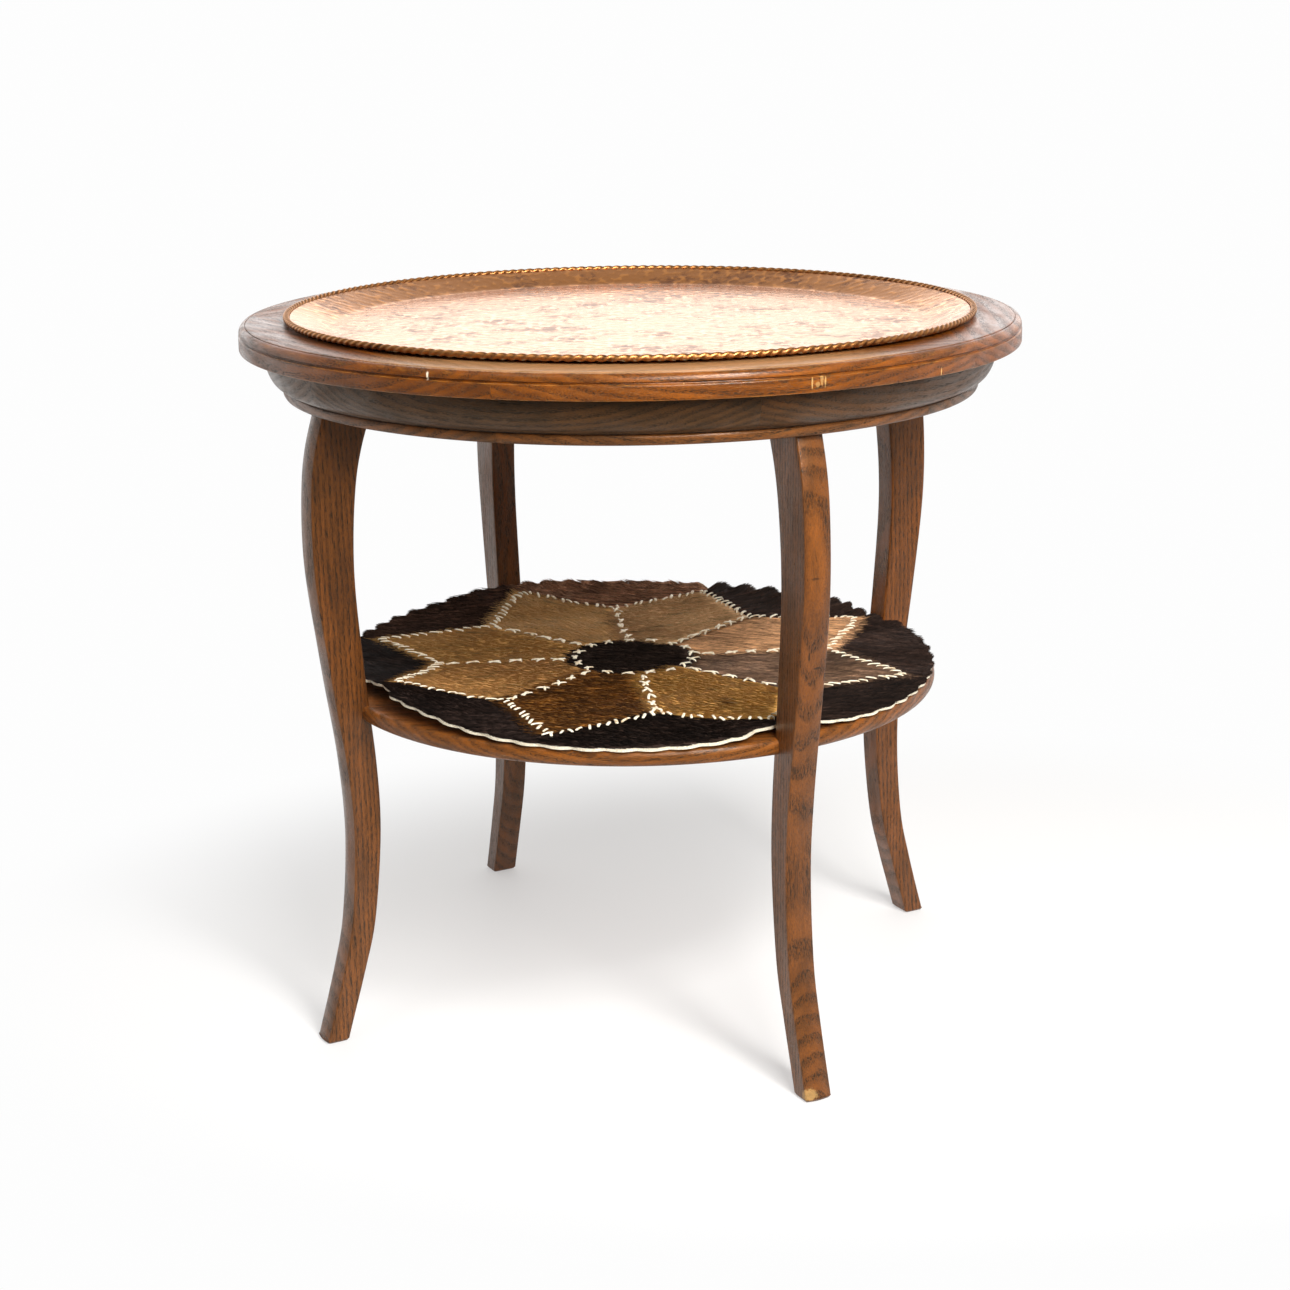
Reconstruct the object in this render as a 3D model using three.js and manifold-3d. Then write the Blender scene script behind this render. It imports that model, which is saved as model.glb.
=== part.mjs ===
// Round oak tray table: a turned-edge top ring on a built-up apron, four sabre legs, a round
// shelf let into the legs, a loose hammered copper tray with a rope edge, and a loose patchwork
// hide mat on the shelf. Millimetres, +Z up, origin on the floor under the table's centre.
// Azimuth 0 is the front (-Y) and grows towards +X.
import * as THREE from "three";
import { mergeVertices } from "three/addons/utils/BufferGeometryUtils.js";
import Module from "manifold-3d";

const wasm = await Module();
wasm.setup();

// ---------------------------------------------------------------- driving dimensions
const FACETS = 60; // sides of a full circle
const GLUE = 0.3; // glue line between two fixed pieces
const LOOSE = 0.3; // gap under a piece that only lies in place

// Top ring: five segments glued end to end, moulded on the outside
const TOP_Z = 610; // upper face of the wood
const TOP_R = 334; // outer radius of the fascia
const TOP_THICK = 21;
const TOP_SEGMENTS = 5;
const TOP_FIRST_JOINT = -18; // degrees
const BEAD_BAND = 5.5; // width of the bead outside the flat top, and its height below it
const BEAD_HEIGHT = 8;
const QUIRK = 1.1; // depth of the fine grooves beside the beads
const EASE = 1; // small rounding on edges that a hand meets
const BEAD_STEPS = 4;

// Apron: an ovolo ring under the top and a beaded ring under that, joints staggered
const APRON_INSET = 21; // fascia to the apron's widest line
const OVOLO_HEIGHT = 31;
const OVOLO_DRAW = 14; // how far the ovolo curves in
const OVOLO_STRAIGHT = 5; // upright stretch above the curve
const OVOLO_STEPS = 6;
const BEAD_RING_HEIGHT = 8.5;
const BEAD_RING_TAPER = 2.5;
const BEAD_RING_ROUND = 5.5; // height of the rounding at its foot
const APRON_WALL = 38; // radial thickness at the widest line
const APRON_FIRST_JOINT = 18;
const BEAD_RING_FIRST_JOINT = -20;

// Tray: hammered copper sheet dished into a flat floor, with a twisted wire round the rim
const TRAY_MARGIN = 38; // wood left showing round the rope edge
const ROPE_DIA = 5.6;
const ROPE_SIDES = 8;
const ROPE_LIFT = 2; // rope above the wood
const RIM_WIDTH = 34.5; // sloping band between the floor and the rope
const TRAY_DEPTH = 11.5; // floor below the rope's centre line
const RIM_SWELL = 0.1; // how far the band bows out above a straight slope, as a share of the depth
const RIM_STEPS = 7;
const SHEET_THICK = 1.2;
const RIM_CLEAR = 0.55; // gap between the sheet and the upper edge of the opening in the wood

// Board that the tray stands on, let into the underside of the top ring
const REBATE = 12; // ledge outside the opening

// Legs: sabre curve, square in section with a crowned outer face
const LEG_COUNT = 4;
const LEG_AZIMUTH = 28; // of the first leg
const LEG_WIDTH = 24.3;
const LEG_FOOT_DEPTH = 20.7;
const LEG_TOP_DEPTH = 44;
const LEG_DEPTH_POWER = 1.45; // how the depth grows from foot to top
const LEG_CROWN = 1.3;
const LEG_ARRIS = 1.7;
const LEG_STATIONS = 26;
// Outer face: height as a share of the leg, and distance outside the apron's lower edge
const LEG_LINE = [
  [0, 16.5],
  [0.11, -0.5],
  [0.2, -11.5],
  [0.337, -16.7],
  [0.455, -13],
  [0.6, -2.5],
  [0.728, 6],
  [0.81, 8.3],
  [0.892, 6.5],
  [0.947, 2],
  [1, -6],
];
const CHEEK_HEIGHT = 33; // tongue behind the apron that the screws go through
const CHEEK_ROOT = 1; // how far the tongue runs down into the leg

// Shelf: edge-glued boards, rounded edge, let into the legs
const SHELF_Z = 299.5; // upper face
const SHELF_THICK = 13.5;
const SHELF_HOUSING = 7.5; // how deep the edge goes into each leg
const SHELF_BOARDS = 4;
const SHELF_NOSE = 4.5; // how far the half-round edge stands out
const SHELF_STEPS = 3;

// Fixings
const DOWEL_DIA = 7;
const DOWEL_IN_LEG = 12;
const DOWEL_IN_SHELF = 22;
const SCREW_DIA = 4;
const SCREW_LENGTH = 40;
const SCREW_TIP = 4;
const SCREW_HEAD_DIA = 8;
const SCREW_HEAD_HEIGHT = 3;
const SCREW_PITCH = 15;
const SCREW_SIDES = 12;
const FIXING_GAP = 0.3;

// Hide mat: a round eye, an eight-pointed star and a scalloped border, laced together
const MAT_POINTS = 8;
const MAT_THICK = 5; // leather and the hair lying on it
const MAT_SETBACK = 3; // shelf edge to the scallops' tops
const MAT_SHIFT_Y = -6; // the mat lies a little towards the front
const MAT_FIRST_TIP = -16.7; // azimuth
const MAT_EYE_R = 54;
const EYE_STEPS = 3; // corners of the eye along each star piece
const MAT_TIP_INSET = 20; // scallop tops to the star's points
const MAT_NOTCH_INSET = 91; // scallop tops to the star's hollows
const MAT_SEAM = 0.6;
const SCALLOPS = 8; // on each border piece
const SCALLOP_DEPTH = 4.5;
const SCALLOP_STEPS = 3;
const MAT_RINGS = 7;
const MAT_SECTORS = 48;
const MAT_SPARE = 8; // sheet beyond the scallops, before they are cut
const MAT_LEG_GAP = 2; // mat to the inner face of a leg
const MAT_SQUEEZE = 40; // how far in from a leg the pushed-in edge is taken up
const MAT_CROWDING = 8; // degrees to each side of a leg where the edge is pushed in
const MAT_RUCK = 15; // degrees to each side of a leg where the mat is rucked up
const MAT_RUCK_REACH = 105; // how far in from the edge a ruck runs
const MAT_LIFTS = [5, 4, 10, 10]; // height of the ruck at each leg, first leg first

// ---------------------------------------------------------------- finishes
const finish = (color, roughness, metalness) => () =>
  new THREE.MeshStandardMaterial({ color, roughness, metalness });
const oakTop = finish(0x8a4b1d, 0.35, 0);
const oakApron = finish(0x4e382b, 0.4, 0);
const oakLeg = finish(0x5e3520, 0.45, 0);
const oakShelf = finish(0x7a4522, 0.4, 0);
const pine = finish(0xa98358, 0.7, 0);
const copper = finish(0x9a5f3c, 0.35, 1);
const steel = finish(0x6d6a66, 0.5, 1);
const beech = finish(0xb58a5c, 0.7, 0);
const brownHide = finish(0x7b5530, 0.9, 0);
const blackHide = finish(0x1d1614, 0.9, 0);

// ---------------------------------------------------------------- helpers
const rad = THREE.MathUtils.degToRad;
const { cos, sin, PI, hypot, exp, abs, sqrt } = Math;
const onPlan = (azimuth, r) => [r * sin(rad(azimuth)), -r * cos(rad(azimuth))];
const range = (n) => [...Array(n).keys()];

// A closed three.js geometry as a solid that can be cut and joined.
function solid(geometry) {
  const bare = geometry.index ? geometry.toNonIndexed() : geometry.clone();
  bare.deleteAttribute("normal");
  bare.deleteAttribute("uv");
  const merged = mergeVertices(bare, 1e-4);
  return new wasm.Manifold(
    new wasm.Mesh({
      numProp: 3,
      vertProperties: merged.attributes.position.array,
      triVerts: new Uint32Array(merged.index.array),
    }),
  );
}

// A solid back as a geometry.
function geometryOf(body) {
  const mesh = body.getMesh();
  const geometry = new THREE.BufferGeometry();
  const xyz = new Float32Array(mesh.vertProperties);
  geometry.setAttribute("position", new THREE.BufferAttribute(xyz, 3));
  geometry.setIndex([...mesh.triVerts]);
  geometry.computeVertexNormals();
  return geometry;
}

// A closed profile of [radius, height] points, listed with the outside first going up,
// turned round the vertical axis.
function turned(profile) {
  const loop = [...profile, profile[0]].map(([r, z]) => new THREE.Vector2(r, z));
  return new THREE.LatheGeometry(loop, FACETS).rotateX(PI / 2);
}

// A plain disc or drum about the vertical axis.
function drum(radius, low, high) {
  return new THREE.CylinderGeometry(radius, radius, high - low, FACETS)
    .rotateX(PI / 2)
    .rotateZ(PI)
    .translate(0, 0, (low + high) / 2);
}

// A level outline of [x, y] points carried up from low to high.
function prism(points, low, high) {
  const shape = new THREE.Shape(points.map(([x, y]) => new THREE.Vector2(x, y)));
  const depth = high - low;
  return new THREE.ExtrudeGeometry(shape, { depth, bevelEnabled: false }).translate(0, 0, low);
}

// An anticlockwise outline moved inwards by a distance.
function inset(points, distance) {
  const n = points.length;
  const lines = points.map(([x, y], i) => {
    const [nx, ny] = points[(i + 1) % n];
    const length = hypot(nx - x, ny - y);
    const ux = (nx - x) / length;
    const uy = (ny - y) / length;
    return { x: x - uy * distance, y: y + ux * distance, ux, uy };
  });
  return lines.map((b, i) => {
    const a = lines[(i + n - 1) % n];
    const cross = a.ux * b.uy - a.uy * b.ux;
    if (abs(cross) < 1e-3) return [b.x, b.y];
    const t = ((b.x - a.x) * b.uy - (b.y - a.y) * b.ux) / cross;
    return [a.x + t * a.ux, a.y + t * a.uy];
  });
}

// A rod along a radius, from one distance to another, at a height.
function radialRod(diameter, from, to, height) {
  return new THREE.CylinderGeometry(diameter / 2, diameter / 2, to - from, SCREW_SIDES)
    .translate(0, -(from + to) / 2, height);
}

function addMesh(parent, name, geometry, makeFinish) {
  const mesh = new THREE.Mesh(geometry, makeFinish());
  mesh.name = name;
  parent.add(mesh);
  return mesh;
}

// Points of a quarter-ellipse from [r0, z0] to [r1, z1], leaving the first point vertically.
function quarterRound([r0, z0], [r1, z1], steps) {
  return range(steps + 1).map((i) => {
    const t = (i / steps) * (PI / 2);
    return [r1 + (r0 - r1) * cos(t), z0 + (z1 - z0) * sin(t)];
  });
}

// ---------------------------------------------------------------- worked-out sizes
const trayR = TOP_R - TRAY_MARGIN;
const ropeR = trayR - ROPE_DIA / 2;
const ropeZ = TOP_Z + ROPE_LIFT + ROPE_DIA / 2;
const rimR = ropeR - ROPE_DIA / 2 - GLUE;
const floorR = rimR - RIM_WIDTH;
const floorZ = ropeZ - TRAY_DEPTH;
// Share of the way up the band where the sheet's underside clears the wood.
const clearing = (TOP_Z + RIM_CLEAR + SHEET_THICK - floorZ) / TRAY_DEPTH;
const clearAt = (1 + RIM_SWELL - sqrt((1 + RIM_SWELL) ** 2 - 4 * RIM_SWELL * clearing)) / (2 * RIM_SWELL);
const openingR = floorR + clearAt * RIM_WIDTH;
const rebateR = openingR + REBATE;
const topUnder = TOP_Z - TOP_THICK;
const boardTop = floorZ - SHEET_THICK - LOOSE;
const apronR = TOP_R - APRON_INSET;
const apronIn = apronR - APRON_WALL;
const ovoloTop = topUnder - GLUE;
const ovoloUnder = topUnder - OVOLO_HEIGHT;
const beadRingTop = ovoloUnder - GLUE;
const apronUnder = ovoloUnder - BEAD_RING_HEIGHT;
const apronLowR = apronR - OVOLO_DRAW - BEAD_RING_TAPER;
const legTop = apronUnder - GLUE;

// The leg's outer line as [height, radius] points, foot first.
const legLine = new THREE.SplineCurve(
  LEG_LINE.map(([share, out]) => new THREE.Vector2(share * legTop, apronLowR + out)),
).getPoints(LEG_STATIONS);
const legDepth = (z) =>
  LEG_FOOT_DEPTH + (LEG_TOP_DEPTH - LEG_FOOT_DEPTH) * (z / legTop) ** LEG_DEPTH_POWER;
// Radius of the leg's inner face at a height.
function legInner(z) {
  const i = Math.max(1, legLine.findIndex((p) => p.x >= z));
  const [a, b] = [legLine[i - 1], legLine[i]];
  const t = (z - a.x) / (b.x - a.x);
  return a.y + t * (b.y - a.y) - legDepth(z);
}
const shelfUnder = SHELF_Z - SHELF_THICK;
const shelfMid = SHELF_Z - SHELF_THICK / 2;
const shelfR = legInner(SHELF_Z) + SHELF_HOUSING;
const legAzimuths = range(LEG_COUNT).map((i) => LEG_AZIMUTH + (i * 360) / LEG_COUNT);

// ---------------------------------------------------------------- top and apron
// Cuts a turned ring into equal segments with a glue line between them.
function ringSegments(parent, name, profile, count, firstJoint, makeFinish, cutters = []) {
  const whole = cutters.reduce((body, cutter) => body.subtract(cutter), solid(turned(profile)));
  const reach = 2 * TOP_R;
  const step = 360 / count;
  for (const i of range(count)) {
    const from = firstJoint + i * step;
    const corners = [0, 1, 2, 3].map((k) => onPlan(from + (k * step) / 3, reach));
    const sector = solid(prism(inset([[0, 0], ...corners], GLUE / 2), 0, 2 * TOP_Z));
    addMesh(parent, `${name}_${i + 1}`, geometryOf(whole.intersect(sector)), makeFinish);
  }
}

// Outer edge from the underside up: fascia, groove, bead, groove, flat top.
function topProfile() {
  const fasciaTop = TOP_Z - BEAD_HEIGHT;
  const beadIn = TOP_R - BEAD_BAND;
  return [
    [rebateR, topUnder],
    [TOP_R - EASE, topUnder],
    [TOP_R, topUnder + EASE],
    [TOP_R, fasciaTop - QUIRK],
    [TOP_R - QUIRK, fasciaTop],
    ...quarterRound([TOP_R - EASE / 2, fasciaTop + QUIRK], [beadIn, TOP_Z - QUIRK], BEAD_STEPS),
    [beadIn - QUIRK / 2, TOP_Z - QUIRK],
    [beadIn - QUIRK, TOP_Z],
    [openingR, TOP_Z],
    [openingR, boardTop + LOOSE],
    [rebateR, boardTop + LOOSE],
  ];
}

// The ovolo swells out under the fascia and curves in to a fine groove.
function ovoloProfile() {
  const foot = apronR - OVOLO_DRAW;
  const curve = quarterRound([apronR, ovoloTop - OVOLO_STRAIGHT], [foot, ovoloUnder + QUIRK], OVOLO_STEPS);
  return [
    [apronIn, ovoloUnder],
    [foot - QUIRK, ovoloUnder],
    ...curve.reverse(),
    [apronR - EASE, ovoloTop],
    [apronIn, ovoloTop],
  ];
}

function beadRingProfile() {
  const wide = apronR - OVOLO_DRAW;
  const foot = [wide - BEAD_RING_TAPER, apronUnder];
  return [
    [apronIn, apronUnder],
    ...quarterRound([wide, apronUnder + BEAD_RING_ROUND], foot, 2).reverse(),
    [wide - QUIRK, beadRingTop],
    [apronIn, beadRingTop],
  ];
}

// Screws lie along a radius, head flush with the cheek's inner face.
const screwHead = legInner(legTop);
const screwHeights = [-1, 1].map((side) => legTop + CHEEK_HEIGHT / 2 + (side * SCREW_PITCH) / 2 + GLUE);
const screwHoles = legAzimuths.flatMap((azimuth) =>
  screwHeights.map((z) =>
    solid(
      radialRod(SCREW_DIA + 2 * FIXING_GAP, screwHead, screwHead + SCREW_LENGTH + FIXING_GAP, z)
        .rotateZ(rad(azimuth)),
    ),
  ),
);

// ---------------------------------------------------------------- tray
// Height of the sheet's upper face: flat floor, then a slightly bowed band up to the rim.
function trayZ(r) {
  const t = Math.max(0, (r - floorR) / RIM_WIDTH);
  return floorZ + TRAY_DEPTH * ((1 + RIM_SWELL) * t - RIM_SWELL * t * t);
}

function trayProfile() {
  const band = range(RIM_STEPS).map((i) => floorR + ((i + 1) / RIM_STEPS) * RIM_WIDTH);
  const radii = [0, floorR, ...band];
  const under = radii.map((r) => [r, trayZ(r) - SHEET_THICK]);
  const over = radii.map((r) => [r, trayZ(r)]).reverse();
  return [...under, ...over];
}

function ropeProfile() {
  return range(ROPE_SIDES).map((i) => {
    const angle = (i / ROPE_SIDES - 1 / 4) * 2 * PI;
    return [ropeR + (ROPE_DIA / 2) * cos(angle), ropeZ + (ROPE_DIA / 2) * sin(angle)];
  });
}

// ---------------------------------------------------------------- legs
// Level sections, foot first, each an anticlockwise list of [x, y], joined into a closed body.
function loft(sections, heights) {
  const n = sections[0].length;
  const xyz = sections.flatMap((section, k) => section.flatMap(([x, y]) => [x, y, heights[k]]));
  const faces = [];
  for (const k of range(sections.length - 1)) {
    for (const i of range(n)) {
      const j = (i + 1) % n;
      const [a, b, c, d] = [k * n + i, k * n + j, (k + 1) * n + j, (k + 1) * n + i];
      faces.push(a, b, c, a, c, d);
    }
  }
  const last = (sections.length - 1) * n;
  const cap = THREE.ShapeUtils.triangulateShape(sections[0].map(([x, y]) => new THREE.Vector2(x, y)), []);
  for (const [a, b, c] of cap) {
    faces.push(c, b, a);
    faces.push(last + a, last + b, last + c);
  }
  const geometry = new THREE.BufferGeometry();
  geometry.setAttribute("position", new THREE.Float32BufferAttribute(xyz, 3));
  geometry.setIndex(faces);
  return geometry;
}

// One leg, radius along -Y: crowned outer face, eased arrises, housing and cheek.
function legSolid() {
  const half = LEG_WIDTH / 2;
  const sections = legLine.map(({ x: z, y: out }) => {
    const inner = out - legDepth(z);
    const shoulder = out - LEG_CROWN;
    return [
      [half - LEG_ARRIS, -inner],
      [-half + LEG_ARRIS, -inner],
      [-half, -inner - LEG_ARRIS],
      [-half, -shoulder + LEG_ARRIS],
      [-half + LEG_ARRIS, -shoulder],
      [0, -out],
      [half - LEG_ARRIS, -shoulder],
      [half, -shoulder + LEG_ARRIS],
      [half, -inner - LEG_ARRIS],
    ];
  });
  const post = solid(loft(sections, legLine.map((p) => p.x)));
  const apronFlat = (apronIn - GLUE) * cos(PI / FACETS);
  const cheekOut = sqrt(apronFlat ** 2 - half ** 2);
  const cheekIn = legInner(legTop);
  const cheek = solid(
    prism(
      [
        [-half, -cheekOut],
        [half, -cheekOut],
        [half, -cheekIn - LEG_ARRIS],
        [half - LEG_ARRIS, -cheekIn],
        [-half + LEG_ARRIS, -cheekIn],
        [-half, -cheekIn - LEG_ARRIS],
      ],
      legTop - CHEEK_ROOT,
      legTop + CHEEK_HEIGHT,
    ),
  );
  const roomy = (shelfR + GLUE) / cos(PI / FACETS);
  const housing = solid(drum(roomy, shelfUnder - GLUE, SHELF_Z + GLUE));
  const dowelHole = solid(
    radialRod(DOWEL_DIA + 2 * FIXING_GAP, shelfR - SHELF_NOSE, shelfR + DOWEL_IN_LEG + FIXING_GAP, shelfMid),
  );
  let leg = post.add(cheek).subtract(housing).subtract(dowelHole);
  for (const z of screwHeights) leg = leg.subtract(solid(screw(z, FIXING_GAP)));
  return leg;
}

// A countersunk screw along -Y, swollen by a clearance when it cuts its own hole.
function screw(z, gap) {
  const profile = [
    [0, -gap],
    [SCREW_HEAD_DIA / 2 + gap, -gap],
    [SCREW_DIA / 2 + gap, SCREW_HEAD_HEIGHT],
    [SCREW_DIA / 2 + gap, SCREW_LENGTH - SCREW_TIP + gap],
    [0, SCREW_LENGTH + gap],
  ].map(([r, along]) => new THREE.Vector2(r, along));
  return new THREE.LatheGeometry(profile, SCREW_SIDES)
    .rotateX(PI)
    .translate(0, -screwHead - GLUE, z);
}

// ---------------------------------------------------------------- shelf
function shelfProfile() {
  const nose = (height) => quarterRound([shelfR, shelfMid], [shelfR - SHELF_NOSE, height], SHELF_STEPS);
  return [[0, shelfUnder], ...nose(shelfUnder).reverse(), ...nose(SHELF_Z).slice(1), [0, SHELF_Z]];
}

function addShelf(parent) {
  const dowelHoles = legAzimuths.map((azimuth) =>
    solid(
      radialRod(
        DOWEL_DIA + 2 * FIXING_GAP,
        shelfR - DOWEL_IN_SHELF - FIXING_GAP,
        shelfR + SHELF_NOSE,
        shelfMid,
      ).rotateZ(rad(azimuth)),
    ),
  );
  const disc = dowelHoles.reduce((body, hole) => body.subtract(hole), solid(turned(shelfProfile())));
  const width = (2 * shelfR) / SHELF_BOARDS;
  const reach = 2 * shelfR;
  for (const i of range(SHELF_BOARDS)) {
    const low = i === 0 ? -reach : -shelfR + i * width + GLUE / 2;
    const high = i === SHELF_BOARDS - 1 ? reach : -shelfR + (i + 1) * width - GLUE / 2;
    const strip = [
      [-reach, low],
      [reach, low],
      [reach, high],
      [-reach, high],
    ];
    const board = disc.intersect(solid(prism(strip, 0, 2 * SHELF_Z)));
    addMesh(parent, `shelf_board_${i + 1}`, geometryOf(board), oakShelf);
  }
}

// ---------------------------------------------------------------- hide mat
const matR = shelfR - MAT_SETBACK;
const matTipR = matR - MAT_TIP_INSET;
const matNotchR = matR - MAT_NOTCH_INSET;
const matPoint = (azimuth, r) => {
  const [x, y] = onPlan(azimuth, r);
  return [x, y + MAT_SHIFT_Y];
};
const turnBetween = (a, b) => ((((a - b) % 360) + 540) % 360) - 180;

// Height of the mat's underside above the shelf: it rucks up where it meets each leg.
function matLift(x, y) {
  const azimuth = THREE.MathUtils.radToDeg(Math.atan2(x, -y));
  const reach = THREE.MathUtils.smoothstep(hypot(x, y), matR - MAT_RUCK_REACH, matR);
  const rucks = legAzimuths.map(
    (leg, i) => MAT_LIFTS[i] * exp(-((turnBetween(azimuth, leg) / MAT_RUCK) ** 2)),
  );
  return LOOSE + reach * rucks.reduce((sum, ruck) => sum + ruck, 0);
}

// Pushes the edge in where it would run into a leg.
function crowd(x, y) {
  const r = hypot(x, y);
  const azimuth = THREE.MathUtils.radToDeg(Math.atan2(x, -y));
  const limit = legInner(SHELF_Z) - MAT_LEG_GAP;
  const start = limit - MAT_SQUEEZE;
  if (r <= start) return [x, y];
  const nearest = Math.min(...legAzimuths.map((leg) => abs(turnBetween(azimuth, leg))));
  const share = exp(-((nearest / MAT_CROWDING) ** 4));
  const edge = matR - MAT_SHIFT_Y;
  const squeezed = start + ((r - start) * (limit - start)) / (edge - start);
  const pushed = r + share * (squeezed - r);
  return [(x * pushed) / r, (y * pushed) / r];
}

// The whole mat as one rucked sheet, before it is cut into its pieces.
function matSheet() {
  const reach = matR + MAT_SPARE;
  const under = [[0, MAT_SHIFT_Y]];
  for (const ring of range(MAT_RINGS)) {
    for (const k of range(MAT_SECTORS)) {
      under.push(matPoint((k * 360) / MAT_SECTORS, (reach * (ring + 1)) / MAT_RINGS));
    }
  }
  const count = under.length;
  const level = (thick) => under.flatMap(([x, y]) => [x, y, SHELF_Z + matLift(x, y) + thick]);
  const faces = [];
  const at = (ring, k) => (ring < 0 ? 0 : 1 + ring * MAT_SECTORS + (k % MAT_SECTORS));
  const both = (a, b, c) => faces.push(c, b, a, a + count, b + count, c + count);
  for (const ring of range(MAT_RINGS)) {
    for (const k of range(MAT_SECTORS)) {
      const [a, b, c, d] = [at(ring - 1, k), at(ring, k), at(ring, k + 1), at(ring - 1, k + 1)];
      both(a, b, c);
      if (ring > 0) both(a, c, d);
      if (ring === MAT_RINGS - 1) faces.push(b, c, c + count, b, c + count, b + count);
    }
  }
  const geometry = new THREE.BufferGeometry();
  geometry.setAttribute("position", new THREE.Float32BufferAttribute([...level(0), ...level(MAT_THICK)], 3));
  geometry.setIndex(faces);
  return solid(geometry);
}

// Scalloped edge between two azimuths.
function scallops(from, to) {
  const steps = SCALLOPS * SCALLOP_STEPS;
  return range(steps + 1).map((i) => {
    const swell = abs(sin((i / SCALLOP_STEPS) * PI));
    return matPoint(from + ((to - from) * i) / steps, matR - SCALLOP_DEPTH * (1 - swell));
  });
}

// The eye's whole edge, with the same corners as the star pieces that meet it.
const eyeAround = (turn) =>
  range(EYE_STEPS * MAT_POINTS).map((i) =>
    matPoint(MAT_FIRST_TIP + turn / 2 + (i * turn) / EYE_STEPS, MAT_EYE_R),
  );

function addMat(parent) {
  const sheet = matSheet();
  const turn = 360 / MAT_POINTS;
  const low = SHELF_Z - MAT_THICK;
  const high = SHELF_Z + 2 * (MAT_THICK + Math.max(...MAT_LIFTS));
  const cut = (name, outline, makeFinish) => {
    const piece = sheet.intersect(solid(prism(inset(outline, MAT_SEAM / 2), low, high)));
    const geometry = geometryOf(piece);
    const xyz = geometry.attributes.position;
    for (const i of range(xyz.count)) xyz.setXY(i, ...crowd(xyz.getX(i), xyz.getY(i)));
    addMesh(parent, name, geometry, makeFinish);
  };
  // The eye's edge between two azimuths, in as many steps as one star piece spans.
  const eyeArc = (from, to) =>
    range(EYE_STEPS + 1).map((i) => matPoint(from + ((to - from) * i) / EYE_STEPS, MAT_EYE_R));
  cut("mat_eye", eyeAround(turn), blackHide);
  for (const i of range(MAT_POINTS)) {
    const tip = MAT_FIRST_TIP + i * turn;
    const [before, after] = [tip - turn / 2, tip + turn / 2];
    const star = [
      matPoint(before, matNotchR),
      matPoint(tip, matTipR),
      matPoint(after, matNotchR),
      ...eyeArc(after, before),
    ];
    cut(`mat_star_${i + 1}`, star, brownHide);
    const border = [
      matPoint(after, matNotchR),
      matPoint(tip, matTipR),
      ...scallops(tip, tip + turn),
      matPoint(tip + turn, matTipR),
    ];
    cut(`mat_border_${i + 1}`, border, blackHide);
  }
}

// ---------------------------------------------------------------- assembly
const table = new THREE.Group();

ringSegments(table, "top_segment", topProfile(), TOP_SEGMENTS, TOP_FIRST_JOINT, oakTop);
ringSegments(table, "apron_segment", ovoloProfile(), TOP_SEGMENTS, APRON_FIRST_JOINT, oakApron, screwHoles);
ringSegments(
  table, "bead_segment", beadRingProfile(), TOP_SEGMENTS, BEAD_RING_FIRST_JOINT, oakApron, screwHoles,
);
addMesh(table, "tray_board", drum(rebateR - LOOSE, topUnder + GLUE, boardTop), pine);

legAzimuths.forEach((azimuth, i) => {
  const corner = new THREE.Group();
  corner.rotation.z = rad(azimuth);
  table.add(corner);
  addMesh(corner, `leg_${i + 1}`, geometryOf(legSolid()), oakLeg);
  const dowel = radialRod(DOWEL_DIA, shelfR - DOWEL_IN_SHELF, shelfR + DOWEL_IN_LEG, shelfMid);
  addMesh(corner, `shelf_dowel_${i + 1}`, dowel, beech);
  screwHeights.forEach((z, k) => addMesh(corner, `leg_screw_${i + 1}_${k + 1}`, screw(z, 0), steel));
});

addShelf(table);
addMesh(table, "tray_dish", turned(trayProfile()), copper);
addMesh(table, "tray_rope", turned(ropeProfile()), copper);
addMat(table);

export default table;
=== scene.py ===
# %% [markdown]
# # A round oak tray table
# A stained oak table with a loose hammered copper tray in its top and a patchwork hide mat on its
# shelf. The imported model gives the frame: every place and size below is read from it or is a small
# offset from it. The lesson works from the outside in: camera and light first, then the finishes,
# then each wooden piece, the tray, and at last the mat with its hair and stitches.

# %% Load the fixed frame
import math

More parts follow.
